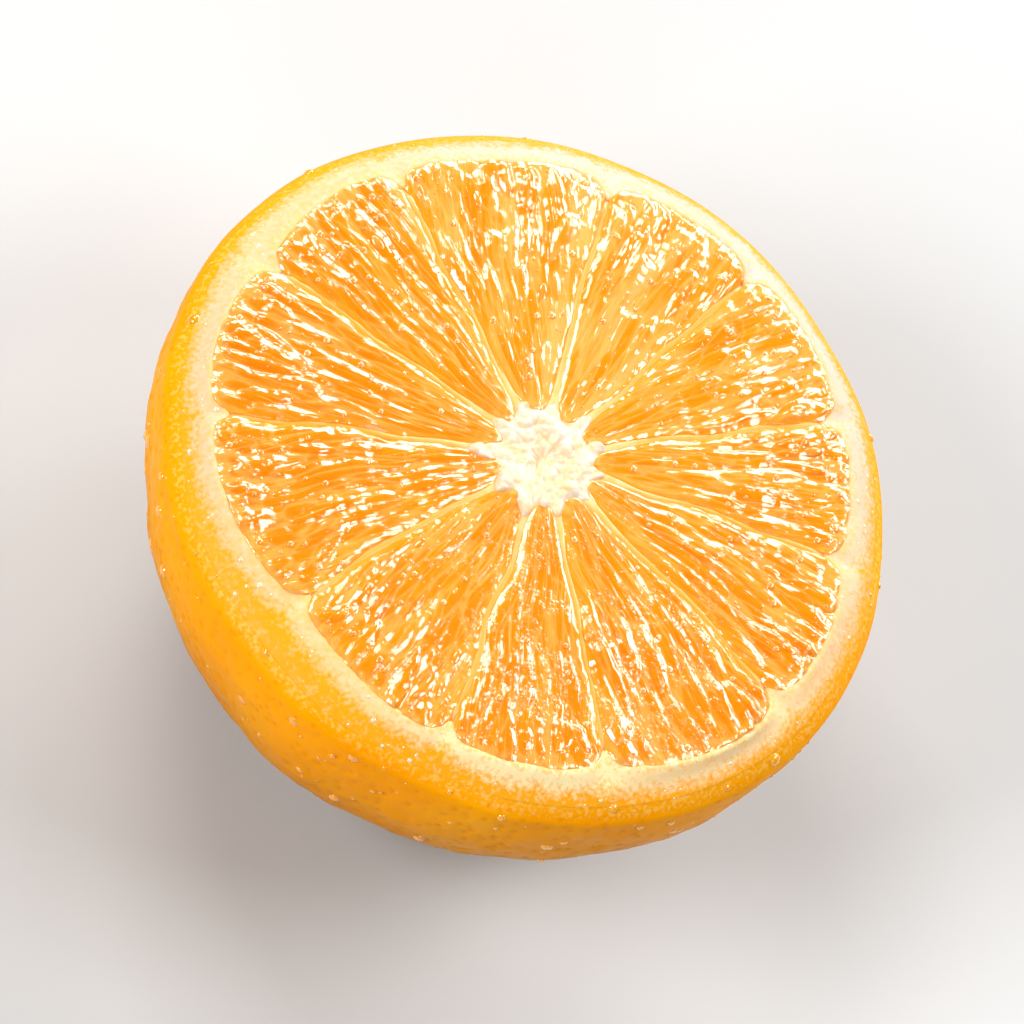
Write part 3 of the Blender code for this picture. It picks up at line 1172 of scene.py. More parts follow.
@dataclass
class PithRing:
    """Ring of pith on the cut rim, running in to a point at each wall."""

    form: HalfForm
    finish: PithFinish = field(default_factory=PithFinish)
    columns: int = 1320
    top_rows: int = 30
    under_flesh: float = 0.0014
    lip: float = 0.00072
    lip_fall: float = 0.0008
    depth: float = 0.0030
    grain_height: float = 0.00005
    grain_spacing: float = 0.0006
    lump_height: float = 0.00010
    lump_spacing: float = 0.0022
    bulge_from: tuple = (0.0345, 0.0372)
    calm_power: int = 12
    thick_by: float = 0.6
    wet_shares: tuple = (0.05, 0.98)

    def top_section(self, edge: float) -> np.ndarray:
        """Section of the ring's top where the flesh ends at a given distance.

        Args:
            edge: Distance of the flesh's edge from the axis.

        Returns:
            Radius and height of each row, from under the flesh out to the skin.
        """
        form = self.form
        return spline_through((
            (edge - self.under_flesh, form.foot_height - self.lip_fall),
            (edge - self.under_flesh * 0.4, form.foot_height + self.lip * 0.5),
            (edge + form.foot_width, form.foot_height + self.lip),
            form.pith_middle,
            form.skin_edge[0],
        ), self.top_rows)

    def mesh(self) -> Mesh:
        """Mesh of the ring.

        Returns:
            The mesh, with its share of the way to the skin kept with its points.
        """
        form = self.form
        directions = np.linspace(0.0, 2.0 * pi, self.columns, endpoint=False)
        edges = form.flesh_edge(directions, form.gap_to_wall(directions))
        share = np.linspace(0.0, 1.0, self.top_rows)
        top = np.array([self.top_section(edge) for edge in edges]).transpose(1, 0, 2)
        turn = np.broadcast_to(directions, top.shape[:2])
        stretch = form.peel_offset(turn, top[..., 1]) * step_between(*self.bulge_from, top[..., 0])
        radius = top[..., 0] + stretch * top[..., 0] / form.peel_radius
        rows = form.placed(radius * np.cos(turn), radius * np.sin(turn), top[..., 1])
        calm = 1.0 - share[:, None] ** self.calm_power
        relief = self.grain_height * soft_noise(rows, self.grain_spacing)
        relief = relief + self.lump_height * soft_noise(rows, self.lump_spacing)
        rows[..., 2] += relief * calm
        below = rows[[-1, 0]].copy()
        below[..., 2] = form.widest_height() + form.skin_edge[0][1] - self.depth
        points = np.concatenate([rows, below]).reshape(-1, 3)
        faces = sheet_faces(self.top_rows + 2, self.columns, True, True)
        mesh = make_mesh("pith_ring", points, [faces])
        self.keep_shares(mesh, directions, (top[..., 0] - edges) / (form.skin_edge[0][0] - edges))
        return mesh

    def keep_shares(self, mesh: Mesh, directions: np.ndarray, rim: np.ndarray) -> None:
        """Keep how near each point is to the skin, how much painted light makes it paler or
        creamier, and whether it is wet.

        Args:
            mesh: Mesh to keep the numbers with.
            directions: Direction of each column.
            rim: Share of the way from the flesh to the skin, of each point on top.
        """
        form = self.form
        wet = (rim > self.wet_shares[0]) * (rim < self.wet_shares[1])
        keep_numbers(mesh, "wet", np.concatenate([wet, np.zeros((2, self.columns))]))
        rim = rim + bulge(directions, form.thick_skin) * step_between(0.0, self.thick_by, rim)
        rim = np.concatenate([rim, np.ones((1, self.columns)), np.zeros((1, self.columns))])
        keep_numbers(mesh, "rim", np.clip(rim, 0.0, 1.0))
        # painted light: shares of the painted paler and creamier pith, by direction
        for name, places in (("pale", form.painted_light_pale_pith), ("creamy", form.painted_light_cream_pith)):
            share = np.clip(bulge(directions, places), 0.0, 1.0)
            keep_numbers(mesh, name, np.broadcast_to(share, rim.shape))

    def build(self) -> Piece:
        """Build the ring and fasten it."""
        return dress(self.mesh(), self.finish.make())


@dataclass(frozen=True)
class Sac:
    """One juice sac: where its head lies, how it tapers to the core and how high it stands.

    The head's place is a share of the way out from the core and across the wedge. Lengths are in
    metres, and the tone goes from 0, deep orange, to 1, peach.
    """

    head: float
    across: float
    drift: float
    length: float
    half_width: float
    rise: float
    lift: float
    tone: float


@dataclass
class SacField:
    """The juice sacs of one wedge and the relief that they make together.

    The rows' step and the sacs' lengths, drifts and jitters are shares of the wedge. A length is
    the shortest and the most that chance adds to it. Other sizes are in metres.
    """

    seed: int
    wedge_length: float
    last_row: float = 0.12
    row_step: float = 0.070
    sac_spacing: float = 0.00170
    sac_width: float = 0.00108
    sac_rise: float = 0.00038
    sac_lift: tuple = (-0.00020, 0.00012)
    outer_rows: int = 2
    outer_length: tuple = (0.15, 0.18)
    inner_length: tuple = (0.20, 0.28)
    jitter_across: float = 0.3
    jitter_along: float = 0.03
    drift: float = 0.10
    floor: float = -0.0003
    floor_gap: float = 0.001
    floor_tone: float = 0.1
    tail_shape: float = 0.8
    fullness: float = 2.377
    thinnest: float = 0.01
    side_limit: float = -3.0
    meniscus: float = 0.00012
    meniscus_rise: float = 0.25
    film_width: float = 0.00005

    def sacs(self, width_at) -> list[Sac]:
        """Place the sacs in rows from the peel in towards the core.

        Args:
            width_at: Function that gives the wedge's width at a share of the way out.

        Returns:
            The sacs.
        """
        chance = Random(self.seed)
        placed = []
        head = 1.0
        row = 0
        while head > self.last_row:
            crowding = 0.82 + 0.18 * head
            count = max(2, round(width_at(head) / self.sac_spacing * crowding))
            for number in range(count):
                jitter = chance.uniform(-self.jitter_across, self.jitter_across)
                across = (number + 0.5 + 0.5 * (row % 2) + jitter) / count
                if across > 1.05:
                    continue
                placed.append(self.sac(chance, row, head, across))
            head -= self.row_step * chance.uniform(0.85, 1.15)
            row += 1
        return placed

    def sac(self, chance: Random, row: int, head: float, across: float) -> Sac:
        """One sac, drawn by chance and smaller near the core.

        Args:
            chance: Source of the random draws.
            row: Number of the sac's row, counted from the peel.
            head: Share of the way out at which the row lies.
            across: Share of the way across the wedge at which the sac lies.

        Returns:
            The sac.
        """
        shortest, spread = self.outer_length if row < self.outer_rows else self.inner_length
        reach = shortest + spread * chance.random()
        return Sac(
            head=head + chance.uniform(-self.jitter_along, self.jitter_along),
            across=across,
            drift=chance.uniform(-self.drift, self.drift),
            length=reach * self.wedge_length,
            half_width=self.sac_width * chance.uniform(0.75, 1.35) * (0.55 + 0.45 * head),
            rise=self.sac_rise * chance.uniform(0.7, 1.25) * (0.5 + 0.5 * head),
            lift=chance.uniform(*self.sac_lift),
            tone=chance.random(),
        )

    def profile(self, run: np.ndarray) -> np.ndarray:
        """Half width of a sac along its run, from its blunt head to its thin tail, one at most."""
        shape = self.fullness * np.sqrt(run) * (1.0 - run) ** self.tail_shape
        return np.maximum(shape, self.thinnest)

    def relief(self, along: np.ndarray, across: np.ndarray,
               widths: np.ndarray, width_at) -> tuple[np.ndarray, np.ndarray, np.ndarray]:
        """Height of the sacs over the cut, and what the finish needs to know of them.

        Args:
            along: Share of the way out from the core, of each point.
            across: Share of the way across the wedge, of each point.
            widths: Width of the wedge at each point.
            width_at: Function that gives the wedge's width at a share of the way out.

        Returns:
            The height in metres, the film's share and the sac's tone at each point.
        """
        first = np.full(along.shape, self.floor)
        second = np.full(along.shape, self.floor - self.floor_gap)
        tone = np.full(along.shape, self.floor_tone)
        for sac in self.sacs(width_at):
            run = (sac.head - along) * self.wedge_length / sac.length
            inside = np.clip(run, 0.0, 1.0)
            profile = self.profile(inside)
            aside = (across - sac.across - sac.drift * inside) * widths / sac.half_width
            body = np.maximum(1.0 - (aside / profile) ** 2, self.side_limit)
            height = sac.lift + sac.rise * profile ** 0.7 * body
            over = height > first
            second = np.where(over, first, np.maximum(second, height))
            tone = np.where(over, sac.tone, tone)
            first = np.where(over, height, first)
        tone = tone * (1.0 - 0.5 * hump(first - second, 3.0 * self.film_width))
        gap = np.clip((self.meniscus - (first - second)) / self.meniscus, 0.0, 1.0)
        height = first + gap ** 2 * self.meniscus * self.meniscus_rise
        film = hump(first - second, self.film_width)
        return height, film, tone


@dataclass(frozen=True)
class WedgeNet:
    """Net of points over one wedge, and where each lies in it.

    Shares run out from the core and across the wedge. Lengths are in metres.
    """

    share: np.ndarray
    across: np.ndarray
    flat: np.ndarray
    widths: np.ndarray
    length: float
    points: np.ndarray

    def side_gap(self) -> np.ndarray:
        """Distance to the nearer wall."""
        return np.minimum(self.across, 1.0 - self.across) * self.widths

    def end_gap(self) -> np.ndarray:
        """Distance to the pith."""
        return (1.0 - self.share) * self.length


@dataclass
class Wedge:
    """One wedge of flesh between two walls.

    Reaches, drops and spacings are in metres. Shares of the way out start below none, under the
    core.
    """

    form: HalfForm
    number: int
    material: Material
    rows: int = 230
    columns: int = 116
    depth: float = 0.0060
    swell_height: float = 0.00003
    swell_reach: float = 0.0014
    shoulder: float = 0.00040
    end_shoulder: float = 0.0008
    side_drop: float = 0.00010
    side_calm: float = 0.00045
    side_ripple: float = 0.00016
    wall_tint: float = 0.00045
    core_drop: float = 0.0008
    first_share: float = -0.04
    level_share: float = 0.03
    shoulder_drop: float = 0.00014
    wrinkles: tuple = ((0.0028, 0.00013), (0.0014, 0.00015), (0.0008, 0.00005))
    grain: float = 0.00009
    grain_spacing: float = 0.0008
    grain_reach: float = 0.0022
    ripple_spacing: float = 0.0011
    calm_by: float = 0.8
    patch: float = 0.0070
    liveliness: tuple = (0.40, 0.90, 1.25)
    liveliness_swing: float = 0.8
    calm_at_core: float = 0.35
    painted_shade_depth: float = 0.0011
    drop_in_hollows: float = 0.3
    fibre_spacing: float = 0.0007
    fibre_share: float = 0.6
    fibre_swing: float = 1.2
    pale_at_core: float = 0.07
    pale_at_pith: float = 0.0006
    core_paleness: float = 2.2
    pith_paleness: float = 2.0
    wall_tint_share: float = 0.85
    dry_wetness: float = 0.5
    wet_reach: float = 0.0050
    wet_side_gap: tuple = (0.0004, 0.0012)
    wet_end_gap: tuple = (0.0006, 0.0011)
    wet_inside_gap: tuple = (0.0018, 0.0030)
    wet_shares: tuple = (0.02, 0.08)
    first_seed: int = 40

    def ends(self, across: np.ndarray) -> tuple[np.ndarray, np.ndarray]:
        """Points on the core's outline and on the flesh's edge.

        Args:
            across: Shares of the way across the wedge.

        Returns:
            Two arrays of x and y over the stem axis.
        """
        form = self.form
        reach = form.core_reach(across, self.number)
        inner = self.direction(across, End.CORE, form.core_radius)
        start = np.stack([
            form.core_centre[0] + reach * np.cos(inner),
            form.core_centre[1] + reach * np.sin(inner),
        ], axis=-1)
        outer = self.direction(across, End.PEEL, form.flesh_radius)
        edge = form.flesh_edge(outer, form.gap_to_wall(outer))
        end = np.stack([edge * np.cos(outer), edge * np.sin(outer)], axis=-1)
        return start, end

    def direction(self, across: np.ndarray, end: End, radius: float) -> np.ndarray:
        """Direction of a place across the wedge, with room for half a wall at each side.

        Args:
            across: Shares of the way across the wedge.
            end: End at which the directions are wanted.
            radius: Distance from the axis at that end.

        Returns:
            Directions in radians.
        """
        form = self.form
        margin = form.wall_half_width / radius
        low = form.wall_direction(self.number, end) + margin
        high = form.wall_direction(self.number + 1, end) - margin
        return low + (high - low) * across

    def width_at(self, share: float) -> float:
        """Width of the wedge at a share of the way out."""
        start, end = self.ends(np.array([0.0, 1.0]))
        sides = start + (end - start) * share
        return float(np.linalg.norm(sides[1] - sides[0]))

    def net(self) -> WedgeNet:
        """Net of points over the wedge, on the smooth cut face.

        Returns:
            The net, bent sideways with the walls beside it.
        """
        form = self.form
        share = np.linspace(self.first_share, 1.0, self.rows)
        across = np.linspace(0.0, 1.0, self.columns)
        start, end = self.ends(across)
        flat = start[None] + (end - start)[None] * share[:, None, None]
        radius = np.linalg.norm(flat, axis=-1)
        sway = form.sway_of_wall(self.number, radius) * (1.0 - across)
        sway = sway + form.sway_of_wall(self.number + 1, radius) * across
        sideways = np.stack([-flat[..., 1], flat[..., 0]], axis=-1) / radius[..., None]
        flat = flat + sideways * sway[..., None]
        share_net, across_net = np.meshgrid(share, across, indexing="ij")
        return WedgeNet(
            share=share_net,
            across=across_net,
            flat=flat,
            widths=np.linalg.norm(flat[:, -1] - flat[:, 0], axis=-1)[:, None],
            length=float(np.linalg.norm(end - start, axis=-1).mean()),
            points=form.placed(flat[..., 0], flat[..., 1], form.cut_height(radius)),
        )

    def drop(self, net: WedgeNet) -> np.ndarray:
        """Depth by which the wedge falls towards its walls, the pith and the core.

        Args:
            net: The wedge's net.

        Returns:
            Depths in metres.
        """
        side_gap = net.side_gap()
        beside_wall = np.clip(1.0 - side_gap / self.shoulder, 0.0, 1.0)
        beside_pith = np.clip(1.0 - net.end_gap() / self.end_shoulder, 0.0, 1.0)
        drop = self.swell_height * hump(side_gap, self.swell_reach)
        level = step_between(self.first_share, self.level_share, net.share)
        drop = drop + self.core_drop * (1.0 - level)
        return drop + self.side_drop * beside_wall ** 2 + self.shoulder_drop * beside_pith ** 2

    def wrinkled(self, net: WedgeNet, sacs: np.ndarray) -> np.ndarray:
        """Relief of the sacs with the wrinkles of the cut, calmer beside the walls.

        Args:
            net: The wedge's net.
            sacs: Height of the sacs over the cut.

        Returns:
            Heights in metres.
        """
        grain = self.grain * hump(net.end_gap(), self.grain_reach)
        wrinkles = grain * soft_noise(net.points, self.grain_spacing)
        for spacing, height in self.wrinkles:
            wrinkles = wrinkles + height * soft_noise(net.points, spacing)
        beside = hump(net.side_gap(), self.side_calm)
        ripple = self.side_ripple * beside * soft_noise(net.points, self.ripple_spacing)
        return sacs * (1.0 - self.calm_by * beside) + wrinkles + ripple

    def lively(self, net: WedgeNet) -> np.ndarray:
        """Share of the relief that is kept, which changes over the face and is less at the core."""
        lowest, middle, highest = self.liveliness
        swing = self.liveliness_swing * soft_noise(net.points, self.patch)
        near_core = np.clip(self.calm_at_core + net.share, self.calm_at_core, 1.0)
        return np.clip(middle + swing, lowest, highest) * near_core

    def wetness(self, net: WedgeNet) -> np.ndarray:
        """Share of the drops that each point may carry, none beside the walls, core and pith."""
        wet = self.dry_wetness + hump(net.end_gap(), self.wet_reach)
        wet = wet * step_between(*self.wet_side_gap, net.side_gap())
        wet = wet * step_between(*self.wet_shares, net.share)
        return wet * step_between(*self.wet_end_gap, net.end_gap())

    def paleness(self, net: WedgeNet) -> np.ndarray:
        """Share of pale fibres, where the wedge runs out at the core and at the pith."""
        swing = self.fibre_swing * soft_noise(net.points * (1.0, 1.0, 0.0), self.fibre_spacing)
        at_core = self.core_paleness * hump(net.share, self.pale_at_core)
        at_pith = self.pith_paleness * hump(net.end_gap(), self.pale_at_pith)
        return np.clip(self.fibre_share + swing, 0.0, 1.0) * (at_core + at_pith)

    def mistiness(self, net: WedgeNet) -> np.ndarray:
        """Share of fine dew, round one place on the cut face."""
        place = self.form.misty_place
        away = np.hypot(net.flat[..., 0] - place[0], net.flat[..., 1] - place[1])
        return hump(away, self.form.misty_reach) * step_between(*self.wet_shares, net.share)

    def top(self) -> tuple[np.ndarray, dict[str, np.ndarray], np.ndarray]:
        """Top of the wedge.

        Returns:
            The points, the numbers to keep with them, and a flat map in metres.
        """
        net = self.net()
        sacs = SacField(seed=self.first_seed + self.number, wedge_length=net.length)
        relief, film, tone = sacs.relief(net.share, net.across, net.widths, self.width_at)
        relief = self.wrinkled(net, relief)
        drop = self.drop(net)
        # painted shade: how sunk each point is, which the flesh paints darker
        sunk = -(relief + drop * self.drop_in_hollows) / self.painted_shade_depth
        wet = self.wetness(net)
        directions = np.arctan2(net.flat[..., 1], net.flat[..., 0])
        numbers = {
            "film": np.maximum(film, self.paleness(net)),
            "tone": tone - bulge(directions, self.form.deep_flesh),
            "depth": np.clip(sunk, 0.0, 1.0),
            "mist": self.mistiness(net),
            "beside_wall": self.wall_tint_share * hump(net.side_gap(), self.wall_tint),
            "wet": wet,
            "wet_inside": wet * step_between(*self.wet_inside_gap, net.end_gap()),
        }
        points = net.points.copy()
        points[..., 2] += relief * self.lively(net) - drop
        flat_map = np.stack([(net.across - 0.5) * net.widths, net.share * net.length], axis=-1)
        return points, numbers, flat_map

    def mesh(self) -> Mesh:
        """Closed mesh of the wedge.

        Returns:
            The mesh, with the sacs' numbers and their flat map.
        """
        top, numbers, flat_map = self.top()
        net = np.arange(self.rows * self.columns).reshape(self.rows, self.columns)
        loop = np.concatenate([net[:-1, 0], net[-1, :-1], net[:0:-1, -1], net[0, :0:-1]])
        points = top.reshape(-1, 3)
        skirt = points[loop].copy()
        skirt[:, 2] -= self.depth
        middle = skirt.mean(axis=0)
        count = len(points)
        low = count + np.arange(len(loop))
        sides = np.stack([low, np.roll(low, -1), np.roll(loop, -1), loop], axis=1)
        bottom = fan_faces(low, count + len(loop), True)
        everything = np.concatenate([points, skirt, middle[None]])
        name = f"flesh_{self.number + 1:02d}"
        faces = sheet_faces(self.rows, self.columns, False, False)
        mesh = make_mesh(name, everything, [faces, sides, bottom])
        extra = len(everything) - count
        for key, values in numbers.items():
            keep_numbers(mesh, key, np.append(values.ravel(), np.zeros(extra)))
        self.keep_map(mesh, np.concatenate([flat_map.reshape(-1, 2), np.zeros((extra, 2))]))
        return mesh

    def keep_map(self, mesh: Mesh, places: np.ndarray) -> None:
        """Keep the sacs' flat map with a mesh.

        Args:
            mesh: Mesh to keep the map with.
            places: Place on the map of each point.
        """
        layer = mesh.uv_layers.new(name="sacs")
        corners = np.empty(len(mesh.loops), dtype=np.int32)
        mesh.loops.foreach_get("vertex_index", corners)
        layer.data.foreach_set("uv", places[corners].astype(np.float32).ravel())

    def build(self) -> Piece:
        """Build the wedge and fasten it."""
        return dress(self.mesh(), self.material)


@dataclass(frozen=True)
class Ridge:
    """A soft ridge: the line it runs on, its half width, its crest's height and its paleness."""

    line: np.ndarray
    half_width: np.ndarray
    crest: np.ndarray
    pale: np.ndarray
    depth: float
    slope: tuple = (
        (-1.6, -0.00030), (-0.8, -0.00007), (-0.35, -0.00002), (0.0, 0.0),
        (0.35, -0.00002), (0.8, -0.00007), (1.6, -0.00030),
    )

    def points(self, axis: tuple[float, float]) -> tuple[np.ndarray, np.ndarray]:
        """Points of the ridge.

        Args:
            axis: Place of the stem axis.

        Returns:
            The points as rows round the ridge's section, and how deep each lies, from 0 to 1.
        """
        along = np.gradient(self.line, axis=0)
        along = along / np.linalg.norm(along, axis=1)[:, None]
        aside = np.stack([-along[:, 1], along[:, 0]], axis=1)
        foot = self.slope[-1][0]
        section = ((-foot, -self.depth), *self.slope, (foot, -self.depth))
        rows = []
        for sideways, fall in section:
            place = self.line + aside * (self.half_width * sideways)[:, None] + np.array(axis)
            rows.append(np.column_stack([place, self.crest + fall]))
        points = np.array(rows).transpose(1, 0, 2)
        sunk = [abs(sideways) / foot for sideways, fall in section]
        return points, np.broadcast_to(sunk, points.shape[:2])


def ridge_mesh(name: str, ridges: list[Ridge], axis: tuple[float, float]) -> Mesh:
    """Closed mesh of some ridges.

    Args:
        name: Name of the mesh.
        ridges: The ridges, all with the same number of rows.
        axis: Place of the stem axis.

    Returns:
        The mesh, with each point's depth and paleness kept.
    """
    points = []
    faces = []
    caps = []
    depths = []
    pales = []
    for ridge in ridges:
        rows, sunk = ridge.points(axis)
        base = sum(len(part) for part in points)
        count, width = sunk.shape
        points.append(rows.reshape(-1, 3))
        depths.append(sunk.ravel())
        pales.append(np.repeat(ridge.pale, width))
        faces.append(sheet_faces(count, width, False, True)[:, ::-1] + base)
        caps.append(base + np.arange(width))
        caps.append(base + (count - 1) * width + np.arange(width)[::-1])
    mesh = make_mesh(name, np.concatenate(points), [np.concatenate(faces), np.array(caps)])
    keep_numbers(mesh, "depth", np.concatenate(depths))
    keep_numbers(mesh, "pale", np.concatenate(pales))
    return mesh


@dataclass
class Walls:
    """The thin walls between the wedges, from the core out to the pith."""

    form: HalfForm
    finish: MembraneFinish = field(default_factory=lambda: MembraneFinish(
        name="golden_wall", pale=(0.96, 0.62, 0.26), warm=(1.0, 0.50, 0.12), sheen=0.4))
    rows: int = 160
    depth: float = 0.0040
    below_cut: float = 0.00005
    half_width: float = 0.00036
    flare_at_peel: float = 1.0
    flare_at_core: float = 0.8
    flare_reach_at_peel: float = 0.05
    flare_reach_at_core: float = 0.10
    unevenness: float = 0.35
    unevenness_spacing: float = 0.003
    undulation: float = 0.00012
    undulation_spacing: float = 0.005
    noise_step: float = 0.01
    noise_places: tuple = (0.3, 0.7)
    under_core: float = 0.0012
    into_pith: float = 0.0009
    foot_drop: float = 0.0006
    foot_share: float = 0.90
    pale_at_core: float = 0.20
    pale_at_peel: float = 0.08

    def ridge(self, number: int) -> Ridge:
        """Ridge of one wall.

        Args:
            number: Number of the wedge that begins at the wall.

        Returns:
            The wall's ridge.
        """
        form = self.form
        inner = form.wall_direction(number, End.CORE)
        outer = form.wall_direction(number, End.PEEL)
        reach = form.core_radius + form.core_point_length - self.under_core
        start = np.array(form.core_centre) + reach * np.array([cos(inner), sin(inner)])
        edge = float(form.flesh_edge(np.array([outer]), np.array([0.0]))[0]) + self.into_pith
        end = edge * np.array([cos(outer), sin(outer)])
        share = np.linspace(0.0, 1.0, self.rows)
        line = start + (end - start) * share[:, None]
        spots = np.column_stack([line, np.full(self.rows, number * self.noise_step)])
        aside = np.array([start[1] - end[1], end[0] - start[0]]) / np.linalg.norm(end - start)
        line = line + aside * form.sway_of_wall(number, np.linalg.norm(line, axis=-1))[:, None]
        for_width, for_crest = self.noise_places
        flare = 1.0 + self.flare_at_peel * hump(share - 1.0, self.flare_reach_at_peel)
        flare = flare + self.flare_at_core * hump(share, self.flare_reach_at_core)
        flare = flare + self.unevenness * soft_noise(spots + for_width, self.unevenness_spacing)
        waves = self.undulation * soft_noise(spots + for_crest, self.undulation_spacing)
        crest = form.widest_height() + form.cut_height(np.linalg.norm(line, axis=-1))
        crest = crest - self.below_cut + waves
        crest = crest - self.foot_drop * step_between(self.foot_share, 1.0, share)
        pale = hump(share, self.pale_at_core) + hump(share - 1.0, self.pale_at_peel)
        return Ridge(line, self.half_width * flare, crest, np.clip(pale, 0.0, 1.0), self.depth)

    def build(self) -> Piece:
        """Build the walls and fasten them."""
        ridges = [self.ridge(number) for number in range(self.form.wedge_count())]
        mesh = ridge_mesh("walls", ridges, self.form.axis_place())
        return dress(mesh, self.finish.make())


@dataclass
class Core:
    """Soft white core, a star whose points run into the walls."""

    form: HalfForm
    finish: MembraneFinish = field(default_factory=MembraneFinish)
    rows: int = 70
    columns: int = 352
    overlap: float = 1.16
    body: float = 0.0057
    petal_reach: float = 0.0014
    petal_lengths: tuple = (0.4, 0.7, 1.3, 0.6, 0.3, 1.0, 1.5, 0.7, 1.0, 0.6, 1.1)
    depth: float = 0.0050
    petal: float = 0.0002
    rise: float = 0.0002
    pit: float = 0.0009
    pit_reach: float = 0.25
    collar_at: float = 0.60
    collar_reach: float = 0.26
    petal_shares: tuple = (0.4, 0.9)
    petal_level: float = 0.3
    lumps: tuple = ((0.0026, 0.00048), (0.0013, 0.00024), (0.0006, 0.00007))
    lump_swing: float = 1.8
    lump_level: float = 0.45
    lump_shade: float = 0.5
    middle_shade: float = 0.6
    ragged: float = 0.20
    ragged_spacing: float = 0.22
    rim_drop: float = 0.0011
    rim_share: float = 0.78
    rim_colour: float = 0.8
    rim_colour_shares: tuple = (0.74, 0.98)
    rim_colour_swing: float = 0.16
    rim_colour_spacing: float = 0.0010

    def outline(self) -> np.ndarray:
        """Reach of the star in each column.

        Returns:
            Array of x and y offsets from the core's centre, and the nearness to a wall.
        """
        form = self.form
        steps = self.columns // form.wedge_count()
        reaches = []
        for wedge in range(form.wedge_count()):
            across = np.arange(steps) / steps
            low = form.wall_direction(wedge, End.CORE)
            high = form.wall_direction(wedge + 1, End.CORE)
            turn = low + (high - low) * across
            nearness = np.abs(2.0 * across - 1.0)
            lengths = self.petal_lengths[wedge], self.petal_lengths[(wedge + 1) % len(form.walls)]
            petal = np.where(across < 0.5, lengths[0], lengths[1])
            reach = self.body + self.petal_reach * petal * np.sin(0.5 * pi * nearness) ** 3
            reaches.append(np.stack([turn, reach, nearness], axis=-1))
        return np.concatenate(reaches)

    def mesh(self) -> Mesh:
        """Closed mesh of the core.

        Returns:
            The mesh, with each point's painted shade kept as its depth, and its paleness kept.
        """
        form = self.form
        turn, reach, nearness = self.outline().T
        edge_spots = np.stack([np.cos(turn), np.sin(turn), np.zeros_like(turn)], axis=-1)
        reach = reach * (1.0 + self.ragged * soft_noise(edge_spots, self.ragged_spacing))
        reach = reach * self.overlap
        share = np.linspace(0.0, 1.0, self.rows + 1)[1:, None]
        across = form.core_centre[0] + share * reach * np.cos(turn)
        along = form.core_centre[1] + share * reach * np.sin(turn)
        spots = np.stack([across, along, np.zeros_like(across)], axis=-1)
        height = form.cut_height(np.hypot(across, along)) - self.pit * hump(share, self.pit_reach)
        height = height + self.rise * hump(share - self.collar_at, self.collar_reach)
        petals = self.petal * step_between(*self.petal_shares, share)
        height = height + petals * (nearness - self.petal_level)
        # painted shade: darker in the core's middle and between its lumps, kept as its depth
        depth = (1.0 - share) ** 2 * np.ones_like(across) * self.middle_shade
        for spacing, peak in self.lumps:
            lump = self.lump_swing * np.abs(soft_noise(spots, spacing)) - self.lump_level
            height = height + peak * lump
            depth = depth - self.lump_shade * lump
        rows = form.placed(across, along, height)
        rows[..., 2] -= step_between(self.rim_share, 1.0, share) * self.rim_drop
        mesh = self.closed(rows)
        extra = np.zeros(self.columns + 2)
        edge = share + self.rim_colour_swing * soft_noise(spots, self.rim_colour_spacing)
        pale = 1.0 - self.rim_colour * step_between(*self.rim_colour_shares, edge)
        pale = np.concatenate([pale.ravel(), np.zeros(self.columns), [1.0, 0.0]])
        keep_numbers(mesh, "depth", np.append(np.clip(depth, 0.0, 1.0).ravel(), extra))
        keep_numbers(mesh, "pale", pale)
        return mesh

    def closed(self, rows: np.ndarray) -> Mesh:
        """Close rows of points round the core into a mesh, with a wall and a bottom below them.

        Args:
            rows: Points by row, from the middle out, and by column.

        Returns:
            The mesh. Its last points are the outline below, the middle and the middle below.
        """
        centre = np.array(self.form.axis_place()) + np.array(self.form.core_centre)
        below = rows[-1:].copy()
        below[..., 2] -= self.depth
        points = np.concatenate([
            np.concatenate([rows, below]).reshape(-1, 3),
            [(*centre, rows[0, :, 2].mean()), (*centre, below[..., 2].mean())],
        ])
        loop = np.arange(self.columns)
        fans = np.concatenate([
            fan_faces(loop, len(points) - 2, False),
            fan_faces(loop + self.rows * self.columns, len(points) - 1, True),
        ])
        sheet = sheet_faces(self.rows + 1, self.columns, False, True)
        return make_mesh("core", points, [sheet, fans])

    def build(self) -> Piece:
        """Build the core and fasten it."""
        return dress(self.mesh(), self.finish.make())


